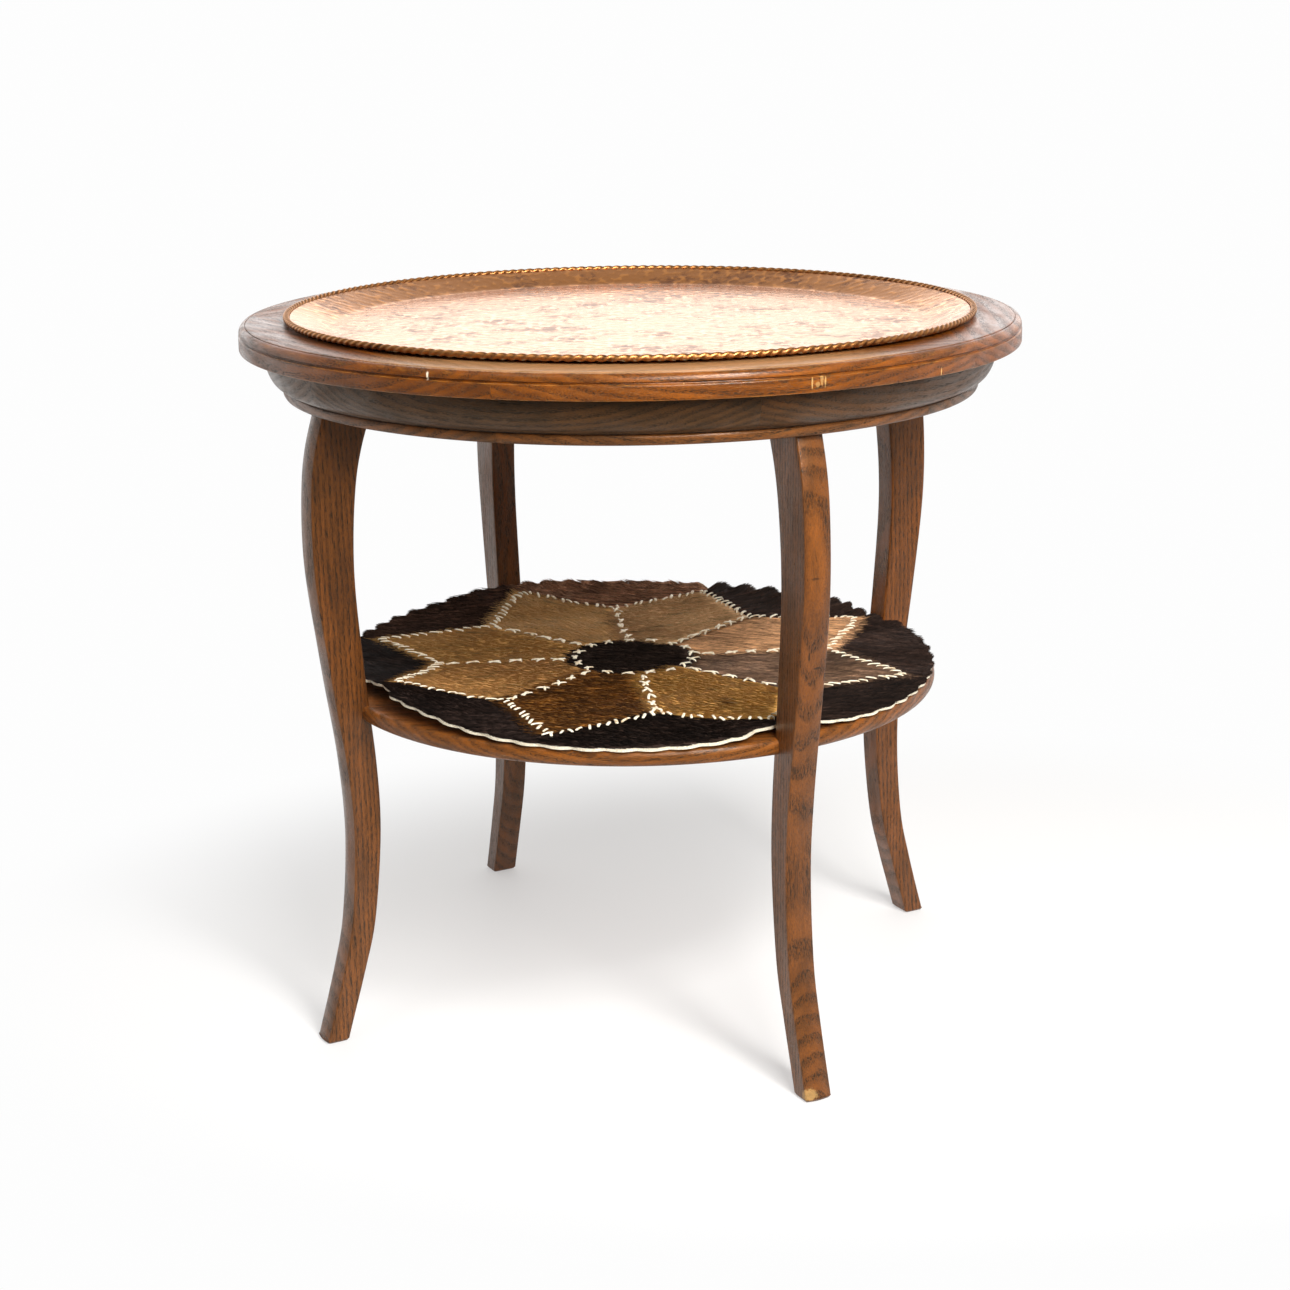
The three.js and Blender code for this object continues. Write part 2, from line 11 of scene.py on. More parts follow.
import bmesh
import bpy
import numpy as np
from mathutils import Matrix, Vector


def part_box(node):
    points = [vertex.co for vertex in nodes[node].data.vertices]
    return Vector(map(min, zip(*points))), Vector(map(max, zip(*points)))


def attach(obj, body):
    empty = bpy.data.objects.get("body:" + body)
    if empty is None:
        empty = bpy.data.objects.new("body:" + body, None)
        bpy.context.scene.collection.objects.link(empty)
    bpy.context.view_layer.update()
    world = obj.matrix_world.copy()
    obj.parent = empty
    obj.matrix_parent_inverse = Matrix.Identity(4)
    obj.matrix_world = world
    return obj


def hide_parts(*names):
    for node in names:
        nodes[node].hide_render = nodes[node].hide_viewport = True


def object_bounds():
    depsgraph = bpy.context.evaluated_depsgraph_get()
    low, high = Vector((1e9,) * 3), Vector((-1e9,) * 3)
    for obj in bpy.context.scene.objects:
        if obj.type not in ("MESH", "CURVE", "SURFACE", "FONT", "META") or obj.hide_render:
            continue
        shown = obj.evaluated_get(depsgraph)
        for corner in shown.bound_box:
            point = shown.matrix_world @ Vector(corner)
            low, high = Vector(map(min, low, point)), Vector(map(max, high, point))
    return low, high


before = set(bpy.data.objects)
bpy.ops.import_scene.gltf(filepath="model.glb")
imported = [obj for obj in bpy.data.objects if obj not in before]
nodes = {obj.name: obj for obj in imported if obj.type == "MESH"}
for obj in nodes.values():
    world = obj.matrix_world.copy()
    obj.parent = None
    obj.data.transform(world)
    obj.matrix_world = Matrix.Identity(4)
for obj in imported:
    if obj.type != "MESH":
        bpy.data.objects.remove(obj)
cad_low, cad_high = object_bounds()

MM = 0.001
wide, high = round(cad_high.x - cad_low.x, 4), round(cad_high.z, 4)
print("the table is", wide, "m wide and stands", high, "m high")

# %% [markdown]
# ## Camera
# The view is a catalogue view: far off with a long lens, a little above the tray, so that the
# circles are narrow ellipses and the legs stand nearly upright. A camera is a turned frame of
# three axes, and building them by hand from three small angles is clearer than guessing at Euler
# angles.

# %% Camera
EYE = np.array([0.0, -2.03035, 0.87715])
TILT = 15.543  # degrees below level
ROLL = -0.678  # degrees
TURN = 0.265  # degrees towards +X
LENS = 65.69  # mm, on a 36 mm sensor


def add_camera():
    """Looks along +Y, turned by TURN, tilted down by TILT, then rolled about its own axis."""
    tilt, roll, turn = np.radians([TILT, ROLL, TURN])
    look = np.array([np.sin(turn) * np.cos(tilt), np.cos(turn) * np.cos(tilt), -np.sin(tilt)])
    right = np.array([np.cos(turn), -np.sin(turn), 0.0])
    up = np.cross(right, look)
    rolled_right = np.cos(roll) * right + np.sin(roll) * up
    rolled_up = np.cos(roll) * up - np.sin(roll) * right
    data = bpy.data.cameras.new("catalogue_camera")
    data.sensor_width = 36
    data.lens = LENS
    camera = bpy.data.objects.new("catalogue_camera", data)
    matrix = np.eye(4)
    matrix[:3, 0], matrix[:3, 1], matrix[:3, 2], matrix[:3, 3] = rolled_right, rolled_up, -look, EYE
    camera.matrix_world = Matrix(matrix.tolist())
    bpy.context.scene.collection.objects.link(camera)
    bpy.context.scene.camera = camera
    print("camera", round(float(np.linalg.norm(EYE)), 3), "m from the middle of the floor")


add_camera()

# %% [markdown]
# ## Node helpers
# A finish is a small network. Writing it as nested calls, each returning a socket, keeps the
# network readable: a value, a colour or another call may stand wherever a socket may.

# %% Node helpers
def feed(tree, socket, value):
    """Links a socket to another, or sets its value."""
    if value is None:
        return
    if isinstance(value, bpy.types.NodeSocket):
        tree.links.new(value, socket)
    else:
        socket.default_value = value


def calc(tree, operation, *values):
    """Arithmetic on numbers."""
    node = tree.nodes.new("ShaderNodeMath")
    node.operation = operation
    for socket, value in zip(node.inputs, values):
        feed(tree, socket, value)
    return node.outputs[0]


def times(tree, first, second):
    """The product of two numbers."""
    return calc(tree, "MULTIPLY", first, second)


def move(tree, operation, *values):
    """Arithmetic on vectors; None leaves an input as it is."""
    node = tree.nodes.new("ShaderNodeVectorMath")
    node.operation = operation
    for socket, value in zip(node.inputs, values):
        feed(tree, socket, value)
    return node.outputs["Value" if operation == "LENGTH" else "Vector"]


def noise(tree, where, scale, detail=2.0, rough=0.5, output="Fac"):
    """Cloudy unevenness round 0.5; a larger scale makes smaller clouds."""
    node = tree.nodes.new("ShaderNodeTexNoise")
    feed(tree, node.inputs["Vector"], where)
    feed(tree, node.inputs["Scale"], scale)
    node.inputs["Detail"].default_value = detail
    node.inputs["Roughness"].default_value = rough
    return node.outputs[output]


def drawn_noise(tree, where, scales, detail, rough, output="Fac"):
    """Noise with a scale of its own along each axis, so it can be drawn out along the grain."""
    return noise(tree, move(tree, "MULTIPLY", where, scales), 1.0, detail, rough, output)


def ramp(tree, value, low, high, to_low=0.0, to_high=1.0):
    """An eased step from to_low, where the value is at low, to to_high, where it is at high."""
    node = tree.nodes.new("ShaderNodeMapRange")
    node.interpolation_type = "SMOOTHSTEP"
    for socket, part in zip(node.inputs, (value, low, high, to_low, to_high)):
        feed(tree, socket, part)
    return node.outputs[0]


def blend(tree, share, first, second, kind="MIX"):
    """From the first colour to the second as the share goes from 0 to 1."""
    node = tree.nodes.new("ShaderNodeMix")
    node.data_type = "RGBA"
    node.blend_type = kind
    feed(tree, node.inputs[0], share)
    feed(tree, node.inputs[6], first)
    feed(tree, node.inputs[7], second)
    return node.outputs[2]


def mix_shaders(tree, share, first, second):
    node = tree.nodes.new("ShaderNodeMixShader")
    for socket, value in zip(node.inputs, (share, first, second)):
        feed(tree, socket, value)
    return node.outputs[0]


def split(tree, vector):
    """The outputs X, Y and Z of a vector."""
    node = tree.nodes.new("ShaderNodeSeparateXYZ")
    feed(tree, node.inputs[0], vector)
    return node.outputs


def object_place(tree):
    """The object's own coordinates, in metres."""
    return tree.nodes.new("ShaderNodeTexCoord").outputs["Object"]


def read_mark(tree, name, output="Fac"):
    """What a mesh has stored at each of its points under this name."""
    node = tree.nodes.new("ShaderNodeAttribute")
    node.attribute_name = name
    return node.outputs[output]


def bump(tree, height, distance, strength=1.0):
    """A normal tilted as if the surface rose by height times distance."""
    node = tree.nodes.new("ShaderNodeBump")
    node.inputs["Strength"].default_value = strength
    node.inputs["Distance"].default_value = distance
    feed(tree, node.inputs["Height"], height)
    return node.outputs[0]


def new_group(name, inputs, outputs):
    """A node group with named inputs and outputs, given as name: (type, value)."""
    group = bpy.data.node_groups.new(name, "ShaderNodeTree")
    for key, (kind, value) in inputs.items():
        socket = group.interface.new_socket(key, in_out="INPUT", socket_type="NodeSocket" + kind)
        if value is not None:
            socket.default_value = value
    for key in outputs:
        group.interface.new_socket(key, in_out="OUTPUT", socket_type="NodeSocketFloat")
    source = group.nodes.new("NodeGroupInput").outputs
    sink = group.nodes.new("NodeGroupOutput").inputs
    return group, source, sink


def use_group(tree, group, **values):
    """Puts a group in a network and feeds its inputs; an underscore stands for a space."""
    node = tree.nodes.new("ShaderNodeGroup")
    node.node_tree = group
    for key, value in values.items():
        feed(tree, node.inputs[key.replace("_", " ")], value)
    return node.outputs


def new_finish(name, **uniform):
    """A material with one Principled shader whose even values are set on its own sockets."""
    material = bpy.data.materials.new(name)
    material.use_nodes = True
    tree = material.node_tree
    shader = tree.nodes["Principled BSDF"]
    for key, value in uniform.items():
        shader.inputs[key.replace("_", " ")].default_value = value
    return material, tree, shader.inputs


def tone(red, green, blue):
    """A colour given on a 0 to 255 display scale, as linear light."""
    c = np.array([red, green, blue]) / 255
    linear = np.where(c <= 0.04045, c / 12.92, ((c + 0.055) / 1.055) ** 2.4)
    return (*linear.tolist(), 1.0)


print("node helpers ready")

# %% [markdown]
# ## Studio
# The table stands in a white room. Polished copper and varnish show whatever is round them, so the
# room matters as much as the lamps: a bright white wall low behind the table whitens the tray, a
# duller ceiling leaves the tray's far slope brown, and a softbox at the front right lights the
# faces of the legs. The floor is painted in an ellipse round the table and passes into an even
# glow further out, so there is no horizon. The camera sees world and glow as plain white; what
# the varnish reflects of them is darker in front of the table.

# %% Studio
BACKDROP = 0.985
FLOOR_REACH = 14.0  # metres
PAINT_MIDDLE = (0.2, 0.1, 0)
PAINT_HALF_SIZE = (0.78, 0.56, 1)
WHITE = (1, 1, 1, 1)
scene = bpy.context.scene
scene.view_settings.view_transform = "Standard"


def seen_directly(tree):
    """1 for what the camera sees, 0 for what lights or is mirrored."""
    return tree.nodes.new("ShaderNodeLightPath").outputs["Is Camera Ray"]


def add_world():
    """White for the camera; for everything else a wall that is brighter low down and behind."""
    world = bpy.data.worlds.new("white_room")
    scene.world = world
    world.use_nodes = True
    tree = world.node_tree
    tree.nodes.clear()
    where = split(tree, tree.nodes.new("ShaderNodeTexCoord").outputs["Generated"])
    low = ramp(tree, where["Z"], 0.3, 0.7, 0.92, 0.5)
    behind = ramp(tree, where["Y"], -0.4, 0.65, 0.18, 1.12)
    rooms = []
    for strength in (times(tree, low, behind), BACKDROP):
        room = tree.nodes.new("ShaderNodeBackground")
        room.inputs["Color"].default_value = WHITE
        feed(tree, room.inputs["Strength"], strength)
        rooms.append(room.outputs[0])
    out = tree.nodes.new("ShaderNodeOutputWorld")
    feed(tree, out.inputs["Surface"], mix_shaders(tree, seen_directly(tree), *rooms))


def softbox(name, at, aim, size, radiance):
    """A rectangular lamp whose power is its radiance times its area times pi."""
    lamp = bpy.data.lights.new(name, "AREA")
    lamp.shape = "RECTANGLE"
    lamp.size, lamp.size_y = size
    lamp.energy = radiance * size[0] * size[1] * math.pi
    obj = bpy.data.objects.new(name, lamp)
    from_aim = np.array(at) - np.array(aim)
    across = np.cross([0.0, 0.0, 1.0], from_aim)
    axes = np.array([across, np.cross(from_aim, across), from_aim])
    axes = axes / np.linalg.norm(axes, axis=1)[:, None]
    matrix = np.eye(4)
    matrix[:3, :3], matrix[:3, 3] = axes.T, at
    obj.matrix_world = Matrix(matrix.tolist())
    obj.visible_camera = False
    scene.collection.objects.link(obj)


def floor_finish():
    """Matt paint that passes into a glow, by the distance from its middle over its half size."""
    material, tree, _ = new_finish(
        "floor_paint", Base_Color=(0.9, 0.882, 0.855, 1), Roughness=0.6, Specular_IOR_Level=0.2
    )
    where = object_place(tree)
    off = move(tree, "DIVIDE", move(tree, "SUBTRACT", where, PAINT_MIDDLE), PAINT_HALF_SIZE)
    share = ramp(tree, move(tree, "LENGTH", off), 0.55, 1.15, 0.42)
    reflected = ramp(tree, split(tree, where)["Y"], -1.5, -0.2, 0.2, BACKDROP)
    glow = tree.nodes.new("ShaderNodeEmission")
    feed(tree, glow.inputs["Strength"], ramp(tree, seen_directly(tree), 0, 1, reflected, BACKDROP))
    paint = tree.nodes["Principled BSDF"].outputs[0]
    surface = mix_shaders(tree, share, paint, glow.outputs[0])
    feed(tree, tree.nodes["Material Output"].inputs["Surface"], surface)
    return material


def add_floor():
    """A pale floor, wide enough to run out of sight."""
    mesh = bpy.data.meshes.new("studio_floor")
    corners = [(x * FLOOR_REACH, y * FLOOR_REACH, 0) for x, y in ((-1, -1), (1, -1), (1, 1), (-1, 1))]
    mesh.from_pydata(corners, [], [(0, 1, 2, 3)])
    mesh.materials.append(floor_finish())
    floor = bpy.data.objects.new("studio_floor", mesh)
    scene.collection.objects.link(floor)


add_world()
add_floor()
for lamp in (  # name, place, what it points at, size, radiance
    ("wall_light", (0, 2.9, 1.1), (0, 0, 0.6), (6.0, 0.9), 1.0),
    ("right_key", (0.98, -1.62, 2.2), (0, 0, 0.3), (0.5, 0.5), 52.0),
    ("front_fill", (0.72, -1.97, 1.6), (0, 0, 0.3), (1.0, 1.0), 19.0),
    ("left_key", (-1.0, -1.15, 2.6), (0, 0, 0.3), (0.8, 0.8), 3.6),
):
    softbox(*lamp)
print("four soft lamps and a floor")

# %% [markdown]
# ## Mesh helpers
# Every new piece is a surface of two parameters worked out as whole arrays. Three helpers turn
# arrays into Blender meshes: one places points round the table, one numbers the squares of a grid,
# and one makes a closed mesh, turns it the right way out and stores what the finish needs to know
# at each point, such as the direction of the grain.

# %% Mesh helpers
def place(azimuth, radius, height):
    """Points from azimuths in degrees, radii and heights: x = r sin a, y = -r cos a."""
    a = np.radians(azimuth)
    x, y, z = np.broadcast_arrays(radius * np.sin(a), -radius * np.cos(a), height)
    return np.stack([x, y, z], axis=-1)


def azimuth_of(x, y):
    """Degrees from the front, growing towards +X."""
    return np.degrees(np.arctan2(x, -y))


def grid_faces(rows, columns, ring_rows=False, ring_columns=False, first=0):
    """Corner numbers of the squares of a grid of points, closed on itself where asked."""
    i = np.arange(rows if ring_rows else rows - 1)
    j = np.arange(columns if ring_columns else columns - 1)
    i, j = (a.ravel() for a in np.meshgrid(i, j, indexing="ij"))
    down, right = (i + 1) % rows, (j + 1) % columns
    corners = [i * columns + j, down * columns + j, down * columns + right, i * columns + right]
    return np.stack(corners, axis=1) + first


def signed_volume(points, faces):
    """Sum over each face's fan of triangles of a . (b x c) / 6; negative means inside out."""
    total = 0.0
    for group in faces:
        start = points[group[:, 0]]
        for k in range(1, group.shape[1] - 1):
            second, third = points[group[:, k]], points[group[:, k + 1]]
            total += np.einsum("ij,ij->", start, np.cross(second, third))
    return total / 6


def fill_mesh(mesh, points, faces):
    """Puts points and groups of equal-sided faces into a mesh, outwards."""
    points = np.asarray(points, float).reshape(-1, 3)
    faces = [np.asarray(group) for group in faces]
    if signed_volume(points, faces) < 0:
        faces = [group[:, ::-1] for group in faces]
    corners = np.concatenate([group.ravel() for group in faces]).astype(np.int32)
    sides = np.concatenate([np.full(len(group), group.shape[1]) for group in faces])
    starts = np.concatenate([[0], np.cumsum(sides)[:-1]]).astype(np.int32)
    mesh.vertices.add(len(points))
    mesh.vertices.foreach_set("co", points.astype(np.float32).ravel())
    mesh.loops.add(len(corners))
    mesh.loops.foreach_set("vertex_index", corners)
    mesh.polygons.add(len(sides))
    mesh.polygons.foreach_set("loop_start", starts)
    mesh.update(calc_edges=True)


def mark(mesh, name, values):
    """Stores a number, a vector or a colour at each point of a mesh."""
    values = np.asarray(values, np.float32)
    kinds = {1: ("FLOAT", "value"), 3: ("FLOAT_VECTOR", "vector"), 4: ("FLOAT_COLOR", "color")}
    kind, field = kinds[1 if values.ndim == 1 else values.shape[1]]
    layer = mesh.attributes.new(name, kind, "POINT")
    layer.data.foreach_set(field, values.ravel())


def finish_piece(name, mesh, material, body, smooth):
    """Shades a mesh smooth up to an angle, gives it its finish and lets it ride on its body."""
    mesh.materials.append(material)
    if smooth:
        mesh.polygons.foreach_set("use_smooth", np.ones(len(mesh.polygons), bool))
        mesh.set_sharp_from_angle(angle=math.radians(smooth))
    obj = bpy.data.objects.new(name, mesh)
    scene.collection.objects.link(obj)
    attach(obj, body)
    return obj


def add_piece(name, points, faces, material, body, slot, smooth=35, **marks):
    """A closed piece from points, faces and what is marked at each point."""
    mesh = bpy.data.meshes.new(name)
    fill_mesh(mesh, points, faces)
    for key, values in marks.items():
        mark(mesh, key, values)
    return finish_piece(name, mesh, material, body, smooth)


def ripple(x, y, seed, wavelength, waves=7):
    """Smooth unevenness from -1 to 1: a sum of plane waves in random directions."""
    rng = np.random.default_rng(seed)
    angle, phase = rng.uniform(0, 2 * np.pi, (2, waves))
    length = wavelength * rng.uniform(0.7, 1.6, waves)
    total = 0.0
    for a, p, w in zip(angle, phase, length):
        total = total + np.sin(2 * np.pi * (x * np.cos(a) + y * np.sin(a)) / w + p)
    return total / math.sqrt(2 * waves)


def quarter_round(start, end, steps):
    """Quarter of an ellipse that leaves its first point upright and ends level."""
    t = np.linspace(0, np.pi / 2, steps + 1)
    across = end[0] + (start[0] - end[0]) * np.cos(t)
    return np.stack([across, start[1] + (end[1] - start[1]) * np.sin(t)], 1)


print("helpers ready")

# %% [markdown]
# ## Oak
# Oak has three things the eye knows it by: growth rings that show as arches or stripes, long dark
# open pores in the early part of each ring, and pale ray flecks. All three lie in the board, not
# on its surface, so the pattern is a solid one: each piece stores its points in its own board's
# axes, with the grain along the first, and the rings are shells round a distant pith. Adding a
# step per piece to those axes cuts each piece from another stretch of the timber. One group
# makes the four masks, and each stain mixes its own colours from them.

# %% The oak group
PITH = (0, 0.034, 0.048)  # metres from the middle of a board, in its own axes


def build_oak_group():
    """Rings: distance from the pith over the ring width. Pores, rays: noise drawn out along it."""
    group, source, sink = new_group(
        "oak_figure",
        {"Board": ("Vector", None), "Ring Width": ("Float", 0.0026), "Waviness": ("Float", 0.02)},
        ["Early", "Pores", "Rays", "Cloud"],
    )
    board = source["Board"]
    wander = drawn_noise(group, board, (3.5, 16, 16), 3, 0.5, "Color")
    wander = move(group, "SUBTRACT", wander, (0.5, 0.5, 0.5))
    wander = move(group, "SCALE", wander, None, None, source["Waviness"])
    bent = move(group, "ADD", board, wander)
    across = move(group, "ADD", move(group, "MULTIPLY", bent, (0, 1, 1)), PITH)
    shells = calc(group, "DIVIDE", move(group, "LENGTH", across), source["Ring Width"])
    in_ring = calc(group, "FRACT", shells)
    early = times(group, ramp(group, in_ring, 0.0, 0.12), ramp(group, in_ring, 0.25, 0.8, 1.0, 0.0))
    streak = drawn_noise(group, bent, (130, 1500, 1500), 2.5, 0.6)
    fine = drawn_noise(group, board, (300, 2600, 2600), 1.5, 0.5)
    crowding = calc(group, "MULTIPLY_ADD", early, 0.75, 0.25)
    pores = times(group, ramp(group, streak, 0.48, 0.59), crowding)
    pores = calc(group, "MAXIMUM", pores, times(group, ramp(group, fine, 0.54, 0.68), 0.6))
    rays = ramp(group, drawn_noise(group, bent, (110, 420, 1100), 1.0, 0.4), 0.62, 0.74)
    feed(group, sink["Early"], early)
    feed(group, sink["Pores"], pores)
    feed(group, sink["Rays"], rays)
    feed(group, sink["Cloud"], drawn_noise(group, board, (16, 60, 80), 4, 0.62))
    return group


oak_group = build_oak_group()
print("oak group has", len(oak_group.nodes), "nodes")

# %% [markdown]
# ## Stains and wear
# The maker used one timber and several stains: amber on the top, a greyer brown on the apron and
# a red brown on the legs, all under a satin varnish that hands have rubbed through along the
# edges. A finish is the oak group, three colours, and rubbing driven by a number stored at each
# point that is 1 on an arris and 0 on a face.

# %% Edge wear and spots
def build_rub_group():
    """Wear where the edge mark is high, broken up by noise."""
    group, source, sink = new_group(
        "rubbed_edge",
        {"Board": ("Vector", None), "Edge": ("Float", 0.0), "Amount": ("Float", 0.5)},
        ["Mask"],
    )
    patchy = drawn_noise(group, source["Board"], (60, 220, 220), 3, 0.6)
    lifted = times(group, source["Edge"], calc(group, "ADD", patchy, source["Amount"]))
    feed(group, sink["Mask"], ramp(group, lifted, 0.55, 1.05))
    return group


def build_spot_group():
    """A ragged spot: distance from its middle, each axis over its own half size, under 1."""
    group, source, sink = new_group(
        "wear_and_painted_light_spot", {key: ("Vector", None) for key in ("Where", "Middle", "Half Size")}, ["Mask"]
    )
    off = move(group, "SUBTRACT", source["Where"], source["Middle"])
    off = move(group, "DIVIDE", off, source["Half Size"])
    ragged = noise(group, source["Where"], 520.0, 3, 0.7)
    spread = calc(group, "ADD", move(group, "LENGTH", off), times(group, ragged, 1.2))
    feed(group, sink["Mask"], ramp(group, spread, 1.15, 1.6, 1.0, 0.0))
    return group


rub_group = build_rub_group()
spot_group = build_spot_group()
print("wear groups ready")


# %% Oak finishes
def oak_finish(name, pale, deep, pore, rubbed, ring_width, rough, coat, spots=(), edge_amount=0.3):
    """Stained oak: deep in the early wood, pale between, dark pores, pale rays and rubbed edges."""
    material, tree, shader = new_finish(
        name, Coat_Roughness=0.26, Coat_IOR=1.5,
        Specular_IOR_Level=0.5, Specular_Tint=(1, 0.7, 0.4, 1),
    )
    board = read_mark(tree, "grain", "Vector")
    oak = use_group(tree, oak_group, Board=board, Ring_Width=ring_width)
    ground = blend(tree, ramp(tree, oak["Cloud"], 0.2, 0.86), pale, deep)
    ringed = blend(tree, times(tree, oak["Early"], 0.38), ground, deep)
    flecked = blend(tree, times(tree, oak["Rays"], 0.12), ringed, rubbed)
    toned = blend(tree, 1.0, flecked, read_mark(tree, "stain", "Color"), "MULTIPLY")
    grained = blend(tree, times(tree, oak["Pores"], 0.88), toned, pore)
    rub = use_group(tree, rub_group, Board=board, Edge=read_mark(tree, "edge"), Amount=edge_amount)
    colour = blend(tree, times(tree, rub["Mask"], 0.75), grained, rubbed)
    # Spots are knocks, scratches and cracks, plus a painted reflection on the top and a painted
    # highlight on a leg.
    for middle, half_size, strength, spot_colour in spots:
        where = object_place(tree)
        spot = use_group(tree, spot_group, Where=where, Middle=middle, Half_Size=half_size)
        colour = blend(tree, times(tree, spot["Mask"], strength), colour, spot_colour)
    feed(tree, shader["Base Color"], colour)
    uneven = drawn_noise(tree, board, (14, 60, 60), 3, 0.6)
    dull = calc(tree, "ADD", uneven, times(tree, oak["Pores"], 0.4))
    feed(tree, shader["Roughness"], ramp(tree, dull, 0.25, 1.0, rough - 0.1, rough + 0.2))
    feed(tree, shader["Coat Weight"], ramp(tree, uneven, 0.3, 0.7, coat + 0.12, coat - 0.12))
    relief = calc(tree, "SUBTRACT", times(tree, uneven, 0.35), oak["Pores"])
    feed(tree, shader["Normal"], bump(tree, relief, 0.0003, 1.0))
    return material


PALE_WOOD, GOLD_WOOD, CRACK = tone(222, 176, 108), tone(196, 112, 40), tone(26, 15, 9)
BARE_WOOD, PAINTED_REFLECTION_TAN = tone(240, 226, 200), tone(214, 162, 108)
knocks = [  # azimuth, inset, height, half size, strength, colour
    (25.5, 0, 0.5975, (0.0009, 0.0009, 0.0058), 0.62, PALE_WOOD),
    (25.0, 0, 0.5988, (0.0016, 0.0016, 0.0066), 0.42, PALE_WOOD),
    (24.4, 0, 0.5952, (0.0024, 0.0024, 0.0026), 0.4, PALE_WOOD),
    (23.6, 0, 0.5972, (0.0009, 0.0009, 0.0062), 0.6, PALE_WOOD),
    (45.6, 0, 0.592, (0.0006, 0.0006, 0.0045), 0.95, PALE_WOOD),
    (-26.9, 0.001, 0.6045, (0.0013, 0.0013, 0.0048), 1.0, BARE_WOOD),
    (6.6, 0, 0.6015, (0.0009, 0.002, 0.0007), 0.7, PALE_WOOD),
]
top_marks_and_painted_reflection = [(place(at, cad_high.x - inset, z).tolist(), *rest) for at, inset, z, *rest in knocks]
# painted reflection: a wide tan wash across the front of the flat top stands in for the bright wall
# mirrored there
top_marks_and_painted_reflection.append(((0.0, -0.3, 0.6102), (0.32, 0.1, 0.0015), 0.5, PAINTED_REFLECTION_TAN))
leg_marks_and_painted_highlight = [  # middle, half size, strength, colour
    # painted highlight: a faint golden patch on the upper outer face of the front right leg, where
    # its varnish catches the key light
    ((0.142, -0.27, 0.455), (0.011, 0.009, 0.06), 0.16, GOLD_WOOD),
    ((0.1361, -0.2666, 0.3745), (0.0011, 0.0014, 0.0062), 0.85, CRACK),
    ((0.1427, -0.262, 0.3645), (0.0058, 0.003, 0.0013), 0.85, CRACK),
    ((0.1486, -0.2561, 0.357), (0.0011, 0.0014, 0.0055), 0.85, CRACK),
    ((0.1404, -0.2704, 0.4385), (0.0044, 0.003, 0.0014), 0.6, CRACK),
    ((0.138, -0.277, 0.006), (0.008, 0.006, 0.0065), 0.5, PALE_WOOD),
    ((-0.1319, 0.2588, 0.3048), (0.0045, 0.0045, 0.0055), 0.8, GOLD_WOOD),
]
oak_top = oak_finish(
    "amber_oak", tone(150, 78, 6), tone(90, 42, 4), tone(34, 17, 5), tone(190, 126, 46),
    ring_width=0.0068, rough=0.36, coat=0.32, spots=top_marks_and_painted_reflection,
)
oak_apron = oak_finish(
    "smoked_oak", tone(108, 66, 30), tone(54, 34, 18), tone(22, 14, 8), tone(136, 90, 48),
    ring_width=0.006, rough=0.4, coat=0.2,
)
oak_leg = oak_finish(
    "brown_oak", tone(132, 74, 28), tone(80, 43, 15), tone(22, 12, 6), tone(146, 90, 44),
    ring_width=0.0042, rough=0.38, coat=0.34, spots=leg_marks_and_painted_highlight, edge_amount=0.06,
)
oak_shelf = oak_finish(
    "shelf_oak", tone(150, 84, 26), tone(96, 52, 15), tone(36, 19, 7), tone(186, 122, 56),
    ring_width=0.005, rough=0.38, coat=0.2,
)
print("four oak finishes")

# %% [markdown]
# ## Top ring
# The top is five curved segments glued end to end, so the grain runs straight along each one and
# changes direction at each joint. A segment is its outline carried round a fifth of a circle: a
# grid of outline points by azimuths. The ends are single faces. The outline runs up the fascia,
# into a fine groove, over a rounded bead, into a second groove and in over the flat top.

# %% Outlines of the top, ovolo and bead ring
TOP_R = cad_high.x
TOP_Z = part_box("top_segment_1")[1].z
TOP_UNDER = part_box("top_segment_1")[0].z
OVOLO_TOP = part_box("apron_segment_1")[1].z
OVOLO_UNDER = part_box("apron_segment_1")[0].z
BEAD_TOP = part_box("bead_segment_1")[1].z
APRON_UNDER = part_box("bead_segment_1")[0].z
APRON_INSET = 21 * MM
APRON_WALL = 38 * MM
OVOLO_DRAW = 14 * MM
BEAD_TAPER = 2.5 * MM
APRON_R = TOP_R - APRON_INSET
APRON_IN = APRON_R - APRON_WALL
OPENING_R = 280.2 * MM
LEDGE = 12 * MM
QUIRK = 1.1 * MM
BOARD_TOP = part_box("tray_board")[1].z + 0.3 * MM


